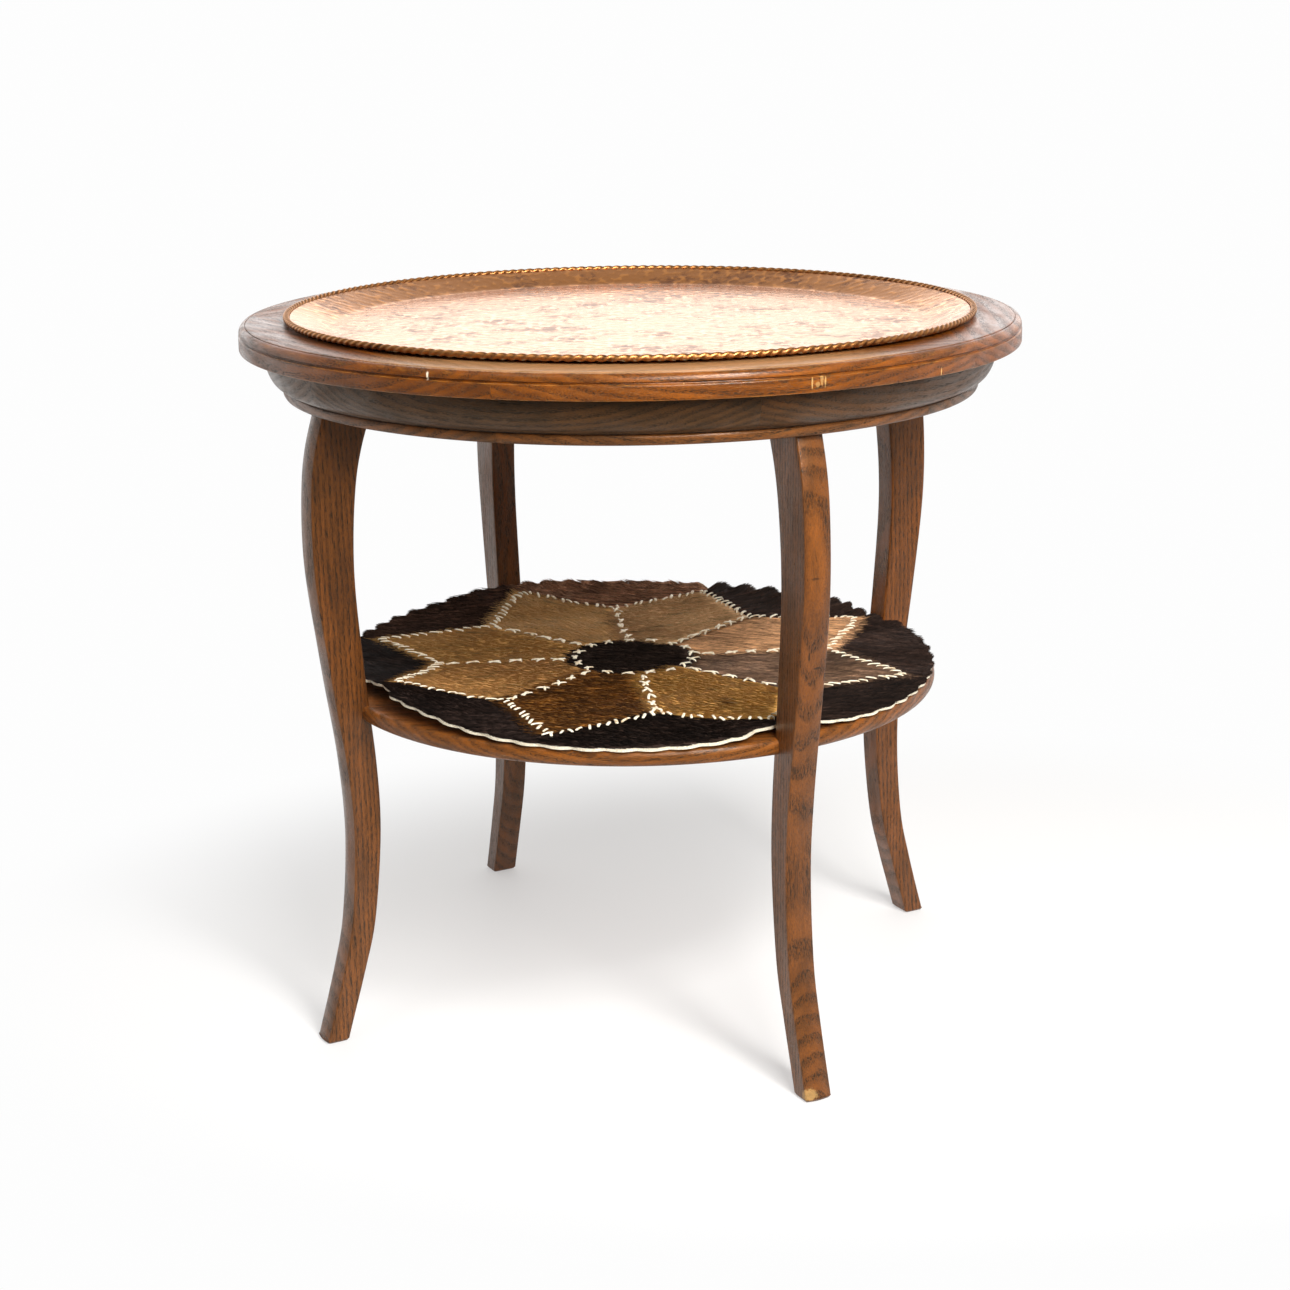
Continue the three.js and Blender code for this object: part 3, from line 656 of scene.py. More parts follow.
def top_outline():
    """Points of (radius, height, edge mark), underside first, then up the outside."""
    bead_in, bead_low = TOP_R - 5.5 * MM, TOP_Z - 8 * MM
    foot = [(TOP_R - MM, TOP_UNDER, 0.3), (TOP_R - 0.3 * MM, TOP_UNDER + 0.3 * MM, 1)]
    foot += [(TOP_R, TOP_UNDER + MM, 0.6)]
    fascia = [(TOP_R, z, 0) for z in np.linspace(TOP_UNDER + 3 * MM, bead_low - 2.4 * MM, 6)]
    arris = [(TOP_R - 0.1 * MM, bead_low - 1.6 * MM, 0.7)]
    arris += [(TOP_R - 0.45 * MM, bead_low - 1.1 * MM, 1)]
    groove = [(TOP_R - 1.5 * MM, bead_low - 0.6 * MM, 0), (TOP_R - 1.7 * MM, bead_low + 0.2 * MM, 0)]
    bead = quarter_round((TOP_R - 0.4 * MM, bead_low + 1.2 * MM), (bead_in, TOP_Z - 0.5 * MM), 10)
    bead = [(r, z, 0.35 + 0.4 * (0.2 < k / 10 < 0.8)) for k, (r, z) in enumerate(bead)]
    valley = [(bead_in - 0.45 * MM, TOP_Z - 1.1 * MM, 0), (bead_in - 0.9 * MM, TOP_Z - 1.15 * MM, 0)]
    flat = [(bead_in - QUIRK, TOP_Z - 0.3 * MM, 0.4), (bead_in - 1.5 * QUIRK, TOP_Z, 0.5)]
    flat += [(r, TOP_Z, 0) for r in np.linspace(bead_in - 4 * MM, OPENING_R + MM, 8)]
    inside = [(OPENING_R, TOP_Z - MM, 0.2), (OPENING_R, BOARD_TOP, 0)]
    ledge = [(OPENING_R + LEDGE, BOARD_TOP, 0), (OPENING_R + LEDGE, TOP_UNDER, 0)]
    return np.array(foot + fascia + arris + groove + bead + valley + flat + inside + ledge)


def ovolo_outline():
    """Flat against the top, a quarter-round that draws in, a fine groove at its foot."""
    foot = APRON_R - OVOLO_DRAW
    curve = quarter_round((APRON_R, OVOLO_TOP - 5 * MM), (foot, OVOLO_UNDER + 1.1 * MM), 20)[::-1]
    curve = [(r, z, 0.15) for r, z in curve]
    low = [(APRON_IN, OVOLO_UNDER, 0), (foot - 1.1 * MM, OVOLO_UNDER, 0)]
    low += [(foot - 0.9 * MM, OVOLO_UNDER + 0.7 * MM, 0)]
    high = [(APRON_R, OVOLO_TOP - 2 * MM, 0), (APRON_R - 0.6 * MM, OVOLO_TOP, 0.2)]
    high += [(APRON_IN, OVOLO_TOP, 0)]
    return np.array(low + curve + high)


def bead_outline():
    """A small rounded band under the ovolo."""
    wide = APRON_R - OVOLO_DRAW
    curve = quarter_round((wide, APRON_UNDER + 5.2 * MM), (wide - BEAD_TAPER, APRON_UNDER), 8)[::-1]
    curve = [(r, z, 0.3) for r, z in curve]
    high = [(wide - 0.1 * MM, BEAD_TOP - 1.6 * MM, 0.2), (wide - 0.6 * MM, BEAD_TOP - 0.5 * MM, 0.6)]
    high += [(wide - 1.3 * MM, BEAD_TOP, 0)]
    return np.array([(APRON_IN, APRON_UNDER, 0)] + curve + high + [(APRON_IN, BEAD_TOP, 0)])


print("outline points:", [len(f()) for f in (top_outline, ovolo_outline, bead_outline)])

# %% Turned segments
SEGMENTS = 5
JOINT_GAP = 0.12 * MM
SEGMENT_STEP = (1.7, 0.05)  # metres along and across the timber from one segment to the next
STEPS = 84
STAINS = {
    "top_segment": [(1, 1, 1), (1.04, 1.02, 1), (0.9, 0.9, 0.92), (0.97, 1, 1), (0.86, 0.84, 0.82)],
    "apron_segment": [
        (1.0, 0.96, 0.9), (1.15, 1.15, 1.15), (0.9, 0.9, 0.95), (1, 1, 1), (0.8, 0.84, 0.92)
    ],
    "bead_segment": [
        (2.0, 1.7, 1.3), (1.4, 1.4, 1.4), (1.6, 1.5, 1.4), (1.1, 1.15, 1.3), (1.7, 1.5, 1.3)
    ],
}


def middle_azimuth(node):
    """Azimuth of the middle of a CAD segment, half way between its two ends."""
    co = np.zeros(len(nodes[node].data.vertices) * 3, np.float32)
    nodes[node].data.vertices.foreach_get("co", co)
    x, y, _ = co.reshape(-1, 3).T
    rough = azimuth_of(x.mean(), y.mean())
    turn = (azimuth_of(x, y) - rough + 540) % 360 - 180
    return float(rough + (turn.min() + turn.max()) / 2)


def add_segment(family, k, outline, material, slot):
    """Carries the outline round a fifth of the circle, less half a glue line at each end."""
    name = f"{family}_{k + 1}"
    middle = middle_azimuth(name)
    half = 180 / SEGMENTS - math.degrees(JOINT_GAP / 2 / TOP_R)
    turn = np.linspace(-half, half, STEPS)[:, None]
    r, z, edge = outline.T
    settle = 0.05 * MM * ripple(turn / 9 + 7 * k, z * 60, 31 + k, 1.0)
    points = place(middle + turn, r + settle, z + 0 * turn)
    n = len(outline)
    caps = np.array([np.arange(n), np.arange(n) + (STEPS - 1) * n])
    caps[0] = caps[0][::-1]
    faces = [grid_faces(STEPS, n, ring_columns=True), caps[:1], caps[1:]]
    along, inward = r * np.sin(np.radians(turn)), r * np.cos(np.radians(turn))
    along, inward = along + SEGMENT_STEP[0] * k, inward + SEGMENT_STEP[1] * k
    grain = np.stack([along, inward, z + 0 * turn], axis=-1).reshape(-1, 3)
    stain = np.tile([*STAINS[family][k], 1.0], (STEPS * n, 1))
    piece = add_piece(
        name + "_turned", points, faces, material, "table", slot, 30,
        grain=grain, edge=np.tile(edge, STEPS), stain=stain,
    )
    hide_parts(name)
    return piece


for k in range(SEGMENTS):
    add_segment("top_segment", k, top_outline(), oak_top, "oak_top")
    add_segment("apron_segment", k, ovolo_outline(), oak_apron, "oak_apron")
    add_segment("bead_segment", k, bead_outline(), oak_apron, "oak_apron")
print("fifteen turned segments of", STEPS, "steps each")

# %% [markdown]
# ## Legs
# Each leg is sawn to an S curve from a square post: it stands out at the foot, draws in above it,
# swells out under the apron and ends in a thinner tongue behind it that the screws go through.
# The outer face is slightly crowned and all four arrises are eased. The piece is a section carried
# up the curve: each section point says how far across the leg it is, whether it belongs to the
# outer or the inner face, and its small offset from that face.

# %% Legs
LEG_WIDTH = 24.3 * MM
FOOT_DEPTH = 20.7 * MM
TOP_DEPTH = 44 * MM
DEPTH_POWER = 1.45
CROWN = 1.3 * MM
ARRIS = 1.7 * MM
CHEEK_HEIGHT = 33 * MM
LEG_TOP = APRON_UNDER - 0.3 * MM
LEG_AZIMUTHS = [28, 118, 208, 298]
LEG_SHARES = [0, 0.11, 0.2, 0.337, 0.455, 0.6, 0.728, 0.81, 0.892, 0.947, 1]
LEG_OUT = [16.5, -0.5, -11.5, -16.7, -13, -2.5, 6, 8.3, 6.5, 2, -6]  # mm beyond the bead's foot
FOOT_RISE = np.array([0, 0.8, 2.4]) * MM
FOOT_BEVEL = np.array([2.2, 0.8, 0]) * MM
CHEEK_RISE = np.array([0, 0.5 * MM, CHEEK_HEIGHT])
CHEEK_GAP = 1.2 * MM
CHEEK_TURN = 3  # degrees to each side, so that its corners clear the round apron
LEG_STEP = 2.3  # metres along the timber from one leg to the next
LEG_BOARD_R = 0.262  # where the middle of the sawn board stands
LEG_PITH = [0.002, -0.003, 0.014, -0.006]  # each leg's pith beside the leg's own middle
LEG_STAIN = [(1, 1, 1), (1.02, 0.98, 0.9), (0.8, 0.74, 0.74), (0.93, 0.95, 0.98)]


def through(values, where):
    """A smooth curve through numbered values: it passes each one along its neighbours' chord."""
    values = np.asarray(values, float)
    i = np.clip(where.astype(int), 0, len(values) - 2)
    t = where - i
    before, start, end, after = (values[np.clip(i + k, 0, len(values) - 1)] for k in (-1, 0, 1, 2))
    leave, arrive = (end - before) / 2, (after - start) / 2
    return (
        (2 * start - 2 * end + leave + arrive) * t**3
        + (3 * end - 3 * start - 2 * leave - arrive) * t**2
        + leave * t + start
    )


def leg_line(count):
    """Heights and outer radii up the leg."""
    where = np.linspace(0, len(LEG_SHARES) - 1, count)
    low_r = APRON_R - OVOLO_DRAW - BEAD_TAPER
    return through(LEG_SHARES, where) * LEG_TOP, low_r + through(LEG_OUT, where) * MM


def leg_depth(z):
    """Thickness in and out, growing from foot to top as a power of the height."""
    return FOOT_DEPTH + (TOP_DEPTH - FOOT_DEPTH) * (z / LEG_TOP) ** DEPTH_POWER


def leg_section():
    """Points round the section: across, share from inner to outer face, offset, edge mark."""
    half = LEG_WIDTH / 2
    flat = half - ARRIS
    face = [(x * flat, 1, -CROWN * x * x, 0) for x in np.linspace(-1, 1, 13)]
    turn = np.linspace(0, np.pi / 2, 5)[1:]
    outer = [(flat + ARRIS * np.sin(a), 1, -CROWN - ARRIS + ARRIS * np.cos(a), 1) for a in turn]
    side = [(half, share, 0, 0) for share in (0.82, 0.66, 0.5, 0.34, 0.18)]
    inner = [(flat + ARRIS * np.cos(a), 0, ARRIS - ARRIS * np.sin(a), 0.8) for a in [0, *turn]]
    back = [(x * flat, 0, 0, 0) for x in (0.6, 0.2, -0.2, -0.6)]
    mirrored = [(-x, s, d, e) for x, s, d, e in (outer + side + inner)[::-1]]
    return np.array(face + outer + side + inner + back + mirrored)


def add_leg(k, azimuth):
    """Carries the section up the curve, steps in behind the apron and closes both ends."""
    name = f"leg_{k + 1}"
    z, out = leg_line(150)
    inner = out - leg_depth(z)
    apron_in = APRON_IN * math.cos(math.radians(CHEEK_TURN)) - CHEEK_GAP
    z = np.concatenate([FOOT_RISE, z[1:], LEG_TOP + CHEEK_RISE])
    out = np.concatenate([out[0] - FOOT_BEVEL, out[1:], [apron_in + CROWN] * 3])
    inner = np.concatenate([inner[0] + FOOT_BEVEL, inner[1:], [inner[-1]] * 3])
    z, out, inner = z[:, None], out[:, None], inner[:, None]
    across, share, offset, edge = leg_section().T
    wobble = 0.22 * MM * ripple(z * 9 + k * 3, across * 30, 50 + k, 1.0)
    radial = inner + share * (out - inner) + offset + wobble * (z > 5 * MM)
    foot = np.concatenate([FOOT_BEVEL, np.zeros(len(z) - 3)])[:, None]
    across = across * (1 - foot / (LEG_WIDTH / 2))
    a = math.radians(azimuth)
    x = radial * math.sin(a) + across * math.cos(a)
    y = -radial * math.cos(a) + across * math.sin(a)
    points = np.stack([x, y, z + 0 * x], axis=-1)
    rows, n = x.shape
    last = np.arange(n) + (rows - 1) * n
    faces = [grid_faces(rows, n, ring_columns=True), np.arange(n)[None, ::-1], last[None, :]]
    sideways = across + 0 * x - PITH[1] + LEG_PITH[k]
    grain = np.stack([z + 0 * x + LEG_STEP * k, sideways, radial - LEG_BOARD_R], axis=-1)
    stain = np.tile([*LEG_STAIN[k], 1.0], (rows * n, 1))
    piece = add_piece(
        name + "_shaped", points, faces, oak_leg, "table", "oak_leg", 40,
        grain=grain.reshape(-1, 3), edge=np.tile(edge, rows), stain=stain,
    )
    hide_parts(name)


for k, azimuth in enumerate(LEG_AZIMUTHS):
    add_leg(k, azimuth)
print("four legs", round(LEG_TOP, 4), "m tall under the apron")

# %% [markdown]
# ## Shelf
# The shelf is four boards glued edge to edge and cut to a disc with a half-round edge. Turning the
# whole disc and then slicing it with planes gives each board its true outline for free, so this
# piece uses Blender's own mesh cutting rather than a formula for each board.

# %% Shelf boards
SHELF_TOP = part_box("shelf_board_1")[1].z
SHELF_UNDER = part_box("shelf_board_1")[0].z
SHELF_R = max(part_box("shelf_board_2")[1].x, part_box("shelf_board_3")[1].x)
NOSE = 4.5 * MM
BOARD_STAIN = [(1, 1, 1), (0.94, 0.95, 0.97), (1.03, 1.01, 1), (0.97, 0.96, 0.95)]
BOARDS = len(BOARD_STAIN)
BOARD_STEP = (0.9, 0.017)  # metres along and across the timber from one board to the next
PITH_DROP = 0.04
DISC_STEPS = 240


def shelf_disc():
    """The disc as a grid: outline from the lower middle, round the nose, to the upper middle."""
    middle = (SHELF_TOP + SHELF_UNDER) / 2
    high = quarter_round((SHELF_R, middle), (SHELF_R - NOSE, SHELF_TOP), 9)
    low = quarter_round((SHELF_R, middle), (SHELF_R - NOSE, SHELF_UNDER), 9)[::-1]
    rings = np.linspace(0, SHELF_R - NOSE - 2 * MM, 14)
    under = np.stack([rings, 0 * rings + SHELF_UNDER], 1)
    over = np.stack([rings, 0 * rings + SHELF_TOP], 1)[::-1]
    outline = np.concatenate([under, low, high[1:], over])
    azimuth = np.linspace(0, 360, DISC_STEPS, endpoint=False)[None, :]
    points = place(azimuth, outline[:, :1], outline[:, 1:])
    return points, [grid_faces(len(outline), DISC_STEPS, ring_columns=True)]


def add_boards():
    """Slices the disc into boards with half a glue line left out on each side of a cut."""
    width = 2 * SHELF_R / BOARDS
    for k in range(BOARDS):
        name = f"shelf_board_{k + 1}"
        mesh = bpy.data.meshes.new(name + "_planed")
        fill_mesh(mesh, *shelf_disc())
        work = bmesh.new()
        work.from_mesh(mesh)
        bmesh.ops.remove_doubles(work, verts=work.verts, dist=1e-6)
        low = -SHELF_R + k * width + JOINT_GAP / 2
        high = -SHELF_R + (k + 1) * width - JOINT_GAP / 2
        for at, way, wanted in ((low, -1, k > 0), (high, 1, k < BOARDS - 1)):
            if not wanted:
                continue
            everything = [*work.verts, *work.edges, *work.faces]
            cut = bmesh.ops.bisect_plane(
                work, geom=everything, dist=1e-7, clear_outer=True,
                plane_co=(0, at, 0), plane_no=(0, way, 0),
            )
            rim = [e for e in cut["geom_cut"] if isinstance(e, bmesh.types.BMEdge)]
            bmesh.ops.holes_fill(work, edges=rim)
        work.to_mesh(mesh)
        work.free()
        co = np.zeros(len(mesh.vertices) * 3, np.float32)
        mesh.vertices.foreach_get("co", co)
        co = co.reshape(-1, 3)
        on_nose = np.clip((np.hypot(co[:, 0], co[:, 1]) - SHELF_R + NOSE) / NOSE, 0, 1)
        mark(mesh, "grain", co + [BOARD_STEP[0] * k, BOARD_STEP[1] * k, PITH_DROP])
        mark(mesh, "edge", on_nose * 0.6)
        mark(mesh, "stain", np.tile([*BOARD_STAIN[k], 1], (len(co), 1)))
        piece = finish_piece(name + "_planed", mesh, oak_shelf, "table", 35)
        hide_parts(name)


add_boards()
print("shelf", round(2 * SHELF_R, 4), "m across")

# %% [markdown]
# ## Pieces that stay as the frame has them
# The board under the tray, the dowels and the screws are plain shapes that the frame already holds
# exactly. They are seen only from below or not at all, so they keep their meshes and get a finish
# that reads plain object coordinates.

# %% Hidden pieces
def plain_wood(name, pale, deep, scale):
    """Bare wood: streaks drawn out along one axis, darker in the hollows."""
    material, tree, shader = new_finish(name, Specular_IOR_Level=0.35)
    streak = drawn_noise(tree, object_place(tree), scale, 4, 0.6)
    cloud = noise(tree, object_place(tree), 9.0, 2, 0.5)
    colour = blend(tree, ramp(tree, streak, 0.35, 0.68), pale, deep)
    feed(tree, shader["Base Color"], blend(tree, ramp(tree, cloud, 0.3, 0.8, 0.0, 0.5), colour, deep))
    feed(tree, shader["Roughness"], ramp(tree, streak, 0.3, 0.7, 0.55, 0.8))
    feed(tree, shader["Normal"], bump(tree, streak, 0.0003, 0.5))
    return material


def dull_steel():
    """Old screw steel: grey, browned in patches, finely scratched."""
    material, tree, shader = new_finish("old_screw_steel", Metallic=0.9)
    where = object_place(tree)
    rust = ramp(tree, noise(tree, where, 400.0, 4, 0.65), 0.45, 0.7)
    feed(tree, shader["Base Color"], blend(tree, rust, tone(150, 146, 140), tone(92, 62, 44)))
    feed(tree, shader["Roughness"], ramp(tree, rust, 0, 1, 0.38, 0.75))
    feed(tree, shader["Normal"], bump(tree, noise(tree, where, 1500.0, 3, 0.6), 0.0001, 0.6))
    return material


def dress(names, material):
    """Gives carried-over nodes a finish."""
    for name in names:
        mesh = nodes[name].data
        mesh.materials.clear()
        mesh.materials.append(material)


pine = plain_wood("bare_pine", tone(196, 158, 110), tone(158, 116, 72), (6, 90, 90))
beech = plain_wood("bare_beech", tone(200, 160, 116), tone(170, 126, 84), (60, 60, 300))
dress(["tray_board"], pine)
dress([f"shelf_dowel_{k}" for k in range(1, 5)], beech)
dress([f"leg_screw_{k}_{j}" for k in range(1, 5) for j in (1, 2)], dull_steel())
print("board, dowels and screws dressed")

# %% [markdown]
# ## Tray sheet
# The tray is one copper sheet, beaten with a round hammer so that it is covered in shallow dents
# that meet in soft ridges, with a flat floor and a sloping band. A polar grid would crowd points
# in the middle, so the disc is a square grid bent into a circle, which spaces them evenly. The
# height is the tray's profile, plus dents: in a field of scattered centres, each point lies in the
# bowl of its nearest one. The underside is a coarser copy, stitched to the upper face at the rim.

# %% Tray sheet shape
ROPE_LOW, ROPE_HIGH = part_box("tray_rope")
ROPE_R = ROPE_HIGH.z / 2 - ROPE_LOW.z / 2
ROPE_RING = ROPE_HIGH.x - ROPE_R
ROPE_Z = (ROPE_HIGH.z + ROPE_LOW.z) / 2
DISH_LOW, DISH_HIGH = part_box("tray_dish")
RIM_R = DISH_HIGH.x
SHEET = 1.2 * MM
RIM_WIDTH = 34.5 * MM
FLOOR_R = RIM_R - RIM_WIDTH
FLOOR_Z = DISH_LOW.z + SHEET
TRAY_DEPTH = DISH_HIGH.z - FLOOR_Z
BOW = 0.1
DENT = 8.6 * MM
DENT_DEPTH = 0.2 * MM
DENT_CELLS = 97  # the field of centres repeats only beyond the tray
EASING = 0.075  # how softly the floor turns up into the band
STILL_RIM = 6 * MM


def square_to_disc(count):
    """A square grid bent into a disc: squares become circles, and the diagonals stay straight."""
    side = np.linspace(-1, 1, count)
    a, b = np.meshgrid(side, side, indexing="ij")
    wide = np.abs(a) >= np.abs(b)
    radius = np.where(wide, a, b)
    safe_a, safe_b = np.where(a == 0, 1, a), np.where(b == 0, 1, b)
    angle = np.where(wide, np.pi / 4 * b / safe_a, np.pi / 2 - np.pi / 4 * a / safe_b)
    return RIM_R * radius * np.cos(angle), RIM_R * radius * np.sin(angle)


def dents(x, y, seed=5):
    """Squared distance to the nearest scattered centre, in cells, 0 in the middle of a bowl."""
    rng = np.random.default_rng(seed)
    jitter = rng.uniform(0.12, 0.88, (DENT_CELLS, DENT_CELLS, 2))
    depth = rng.uniform(0.55, 1.25, (DENT_CELLS, DENT_CELLS))
    i, j = np.floor(x / DENT).astype(int), np.floor(y / DENT).astype(int)
    nearest, strength = np.full(x.shape, 9.0), np.ones(x.shape)
    for di in (-1, 0, 1):
        for dj in (-1, 0, 1):
            ci, cj = (i + di) % DENT_CELLS, (j + dj) % DENT_CELLS
            dx = x / DENT - (i + di) - jitter[ci, cj, 0]
            dy = y / DENT - (j + dj) - jitter[ci, cj, 1]
            d = dx * dx + dy * dy
            strength = np.where(d < nearest, depth[ci, cj], strength)
            nearest = np.minimum(nearest, d)
    return np.minimum(nearest, 0.6) * strength


def tray_height(x, y):
    """Flat floor, an eased corner, a slightly bowed band, and hammer dents over all."""
    r = np.hypot(x, y)
    slope = (r - FLOOR_R) / RIM_WIDTH
    t = 0.5 * (slope + np.sqrt(slope**2 + EASING**2))
    t = t / (0.5 * (1 + math.sqrt(1 + EASING**2)))
    band = TRAY_DEPTH * ((1 + BOW) * t - BOW * t * t)
    on_band = np.clip(slope * 2, 0, 1)
    settle = 0.1 * MM * ripple(x, y, 3, 0.07) + 0.35 * MM * ripple(x, y, 4, 0.16) * on_band
    edge = np.clip((RIM_R - r) / STILL_RIM, 0, 1)
    return FLOOR_Z + band + (settle + 2.2 * DENT_DEPTH * (dents(x, y) - 0.25)) * edge


def boundary(count):
    """Numbers of the grid's outer points in order round the square."""
    k = np.arange(count - 1)
    last = count - 1
    return np.concatenate([k, k * count + last, last * count + last - k, (last - k) * count])


def add_dish(material):
    """Upper and lower faces and the stitches between their rims, two upper steps to one lower."""
    fine, coarse = 265, 133
    x, y = square_to_disc(fine)
    over = np.stack([x, y, tray_height(x, y)], axis=-1).reshape(-1, 3)
    u, v = square_to_disc(coarse)
    under = np.stack([u, v, tray_height(u, v) - SHEET], axis=-1).reshape(-1, 3)
    top, low = boundary(fine), boundary(coarse) + fine * fine
    after = np.roll(low, -1)
    stitches = np.concatenate([
        np.stack([top[0::2], low, top[1::2]], 1),
        np.stack([top[1::2], low, after], 1),
        np.stack([top[1::2], after, np.roll(top[0::2], -1)], 1),
    ])
    back = grid_faces(coarse, coarse, first=fine * fine)[:, ::-1]
    faces = [grid_faces(fine, fine), back, stitches[:, ::-1]]
    points = np.concatenate([over, under])
    proud = np.clip(dents(points[:, 0], points[:, 1]) / 0.5, 0, 1)
    dish = add_piece("tray_sheet", points, faces, material, "tray", "copper", 50, proud=proud)
    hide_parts("tray_dish")
    print("tray sheet has", len(points), "points")


print("tray floor", round(2 * FLOOR_R, 4), "m across and", round(TRAY_DEPTH / MM, 2), "mm deep")

# %% [markdown]
# ## Tray finish
# Old copper that is used and wiped is bright on the high spots and brown in the hollows, with
# redder and darker clouds where it was cleaned unevenly. It is a metal shader with a thin clear
# lacquer. The rope shares it, with its wear driven by how proud each point stands, and with green
# specks low on its outer side, where a cloth never reaches.

# %% Copper finishes
def copper_finish(name, bright, brown, rough, least_film, coat, green=False):
    """Brown film over bright metal, broken up by clouds and rubbed where the metal stands proud."""
    material, tree, shader = new_finish(
        name, Metallic=1.0, Coat_Weight=coat, Coat_Roughness=0.22, Specular_Tint=(1, 0.97, 0.92, 1)
    )
    where = object_place(tree)
    clouds = noise(tree, where, 22.0, 5, 0.68)
    small = noise(tree, where, 130.0, 4, 0.66)
    film = ramp(tree, calc(tree, "ADD", clouds, times(tree, small, 0.6)), 0.62, 1.05)
    rubbed = ramp(tree, calc(tree, "MULTIPLY_ADD", small, 0.35, read_mark(tree, "proud")), 0.55, 1.05)
    film = times(tree, calc(tree, "MAXIMUM", film, least_film), calc(tree, "SUBTRACT", 1.0, rubbed))
    colour = blend(tree, film, bright, brown)
    if green:
        low = ramp(tree, split(tree, where)["Z"], ROPE_Z - 0.6 * MM, ROPE_Z - 2.2 * MM)
        speck = ramp(tree, noise(tree, where, 330.0, 2, 0.6), 0.5, 0.62)
        crust = times(tree, times(tree, low, speck), 0.8)
        colour = blend(tree, crust, colour, tone(150, 160, 142))
        feed(tree, shader["Metallic"], calc(tree, "SUBTRACT", 1.0, crust))
    feed(tree, shader["Base Color"], colour)
    feed(tree, shader["Roughness"], ramp(tree, film, 0, 1, rough, rough + 0.17))
    relief = calc(tree, "ADD", noise(tree, where, 420.0, 2, 0.5), times(tree, small, 0.6))
    feed(tree, shader["Normal"], bump(tree, relief, 0.00012, 0.5))
    return material


copper_sheet = copper_finish(
    "hammered_copper", tone(230, 149, 70), tone(122, 64, 22), rough=0.15, least_film=0.4, coat=0.08
)
copper_rope = copper_finish(
    "rope_copper", tone(208, 142, 80), tone(84, 51, 28),
    rough=0.38, least_film=0.55, coat=0.12, green=True,
)
add_dish(copper_sheet)

# %% [markdown]
# ## Rope edge
# The tray's edge is two copper wires twisted together and soldered on. Each wire is a helix, and
# the two overlap into one lobed section that turns as it goes round, so one grid does it: the
# section's radius is large where it points along the pair and small across it, and the pair's
# direction turns a whole number of times in one circuit, so the ends meet.

# %% Rope edge
LOBES = 214
LOBE_STEPS = 9
ROUND = 16
WAIST = 0.5


def add_rope():
    """Section radius = R sqrt(w + (1 - w) cos^2 of the angle from the pair's direction)."""
    count = LOBES * LOBE_STEPS
    azimuth = np.arange(count)[:, None] * 360 / count
    around = np.arange(ROUND)[None, :] * 2 * np.pi / ROUND
    uneven = 0.35 * ripple(azimuth / 7, azimuth * 0, 8, 1.0)
    pair = np.radians(azimuth) * LOBES / 2 + uneven
    share = np.sqrt(WAIST + (1 - WAIST) * np.cos(around - pair) ** 2)
    reach = ROPE_R * share
    r = ROPE_RING + reach * np.cos(around)
    z = ROPE_Z + reach * np.sin(around)
    upward = np.clip(np.sin(around) * 0.5 + 0.5, 0, 1)
    proud = (share - math.sqrt(WAIST)) / (1 - math.sqrt(WAIST)) * (0.35 + 0.65 * upward)
    faces = [grid_faces(count, ROUND, ring_rows=True, ring_columns=True)]
    rope = add_piece(
        "tray_rope_twisted", place(azimuth, r, z), faces, copper_rope, "tray", "copper", 70,
        proud=proud.ravel(),
    )
    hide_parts("tray_rope")
    print("rope", round(2 * ROPE_R / MM, 2), "mm thick with", LOBES, "lobes")


add_rope()

# %% [markdown]
# ## Hide mat: its plan
# The mat is patchwork: a black disc, eight brown kites that make a star, and eight black pieces
# that fill it out to a scalloped circle. It is stiff and a little too wide for the space between
# the legs, so its edge is pushed in at each leg and rucks up there. These functions hold that
# plan, so the leather, the hair and the stitches all follow the same seams and the same rucks.

# %% The mat's plan
MAT_SHIFT = -6 * MM
MAT_R = SHELF_R - 3 * MM
EYE_R = 54 * MM
TIP_R = MAT_R - 20 * MM
NOTCH_R = MAT_R - 91 * MM
POINTS = 8
FIRST_TIP = -16.7
TURN_STEP = 360 / POINTS
SCALLOPS = 8
SCALLOP_DEPTH = 3.4 * MM
CURL = 5.5 * MM
LIFTS = [5 * MM, 4 * MM, 10 * MM, 13 * MM]
RUCK_AT = [28, 118, 208, 306]  # degrees
RUCKS = [15, 15, 15, 24]  # half widths, in degrees
RUCK_REACH = 105 * MM
LEG_GAP = 2 * MM
SQUEEZE = 40 * MM
CROWDING = 8  # degrees to each side of a leg
UNDERSIDE = SHELF_TOP + 0.3 * MM
LEATHER = 2.2 * MM
LEG_Z, LEG_OUTER = leg_line(400)
LEG_INNER = float(np.interp(SHELF_TOP, LEG_Z, LEG_OUTER - leg_depth(LEG_Z)))


def turn_between(a, b):
    """Smallest turn from b to a, from -180 to 180 degrees."""
    return (a - b + 540) % 360 - 180


def polar(x, y):
    """Azimuth and radius about the mat's own middle."""
    return azimuth_of(x, y - MAT_SHIFT), np.hypot(x, y - MAT_SHIFT)


def on_mat(azimuth, radius):
    """Flat x and y from the mat's own azimuth and radius."""
    points = place(azimuth, radius, 0.0)
    return points[..., 0], points[..., 1] + MAT_SHIFT


def scallop(azimuth):
    """1 in the middle of a scallop and 0 between two, as |sin|."""
    return np.abs(np.sin(np.radians(turn_between(azimuth, FIRST_TIP)) * SCALLOPS * POINTS / 2))


def edge_radius(azimuth):
    """The scalloped outline: the full radius less a depth between the scallops."""
    return MAT_R - SCALLOP_DEPTH * (1 - scallop(azimuth))


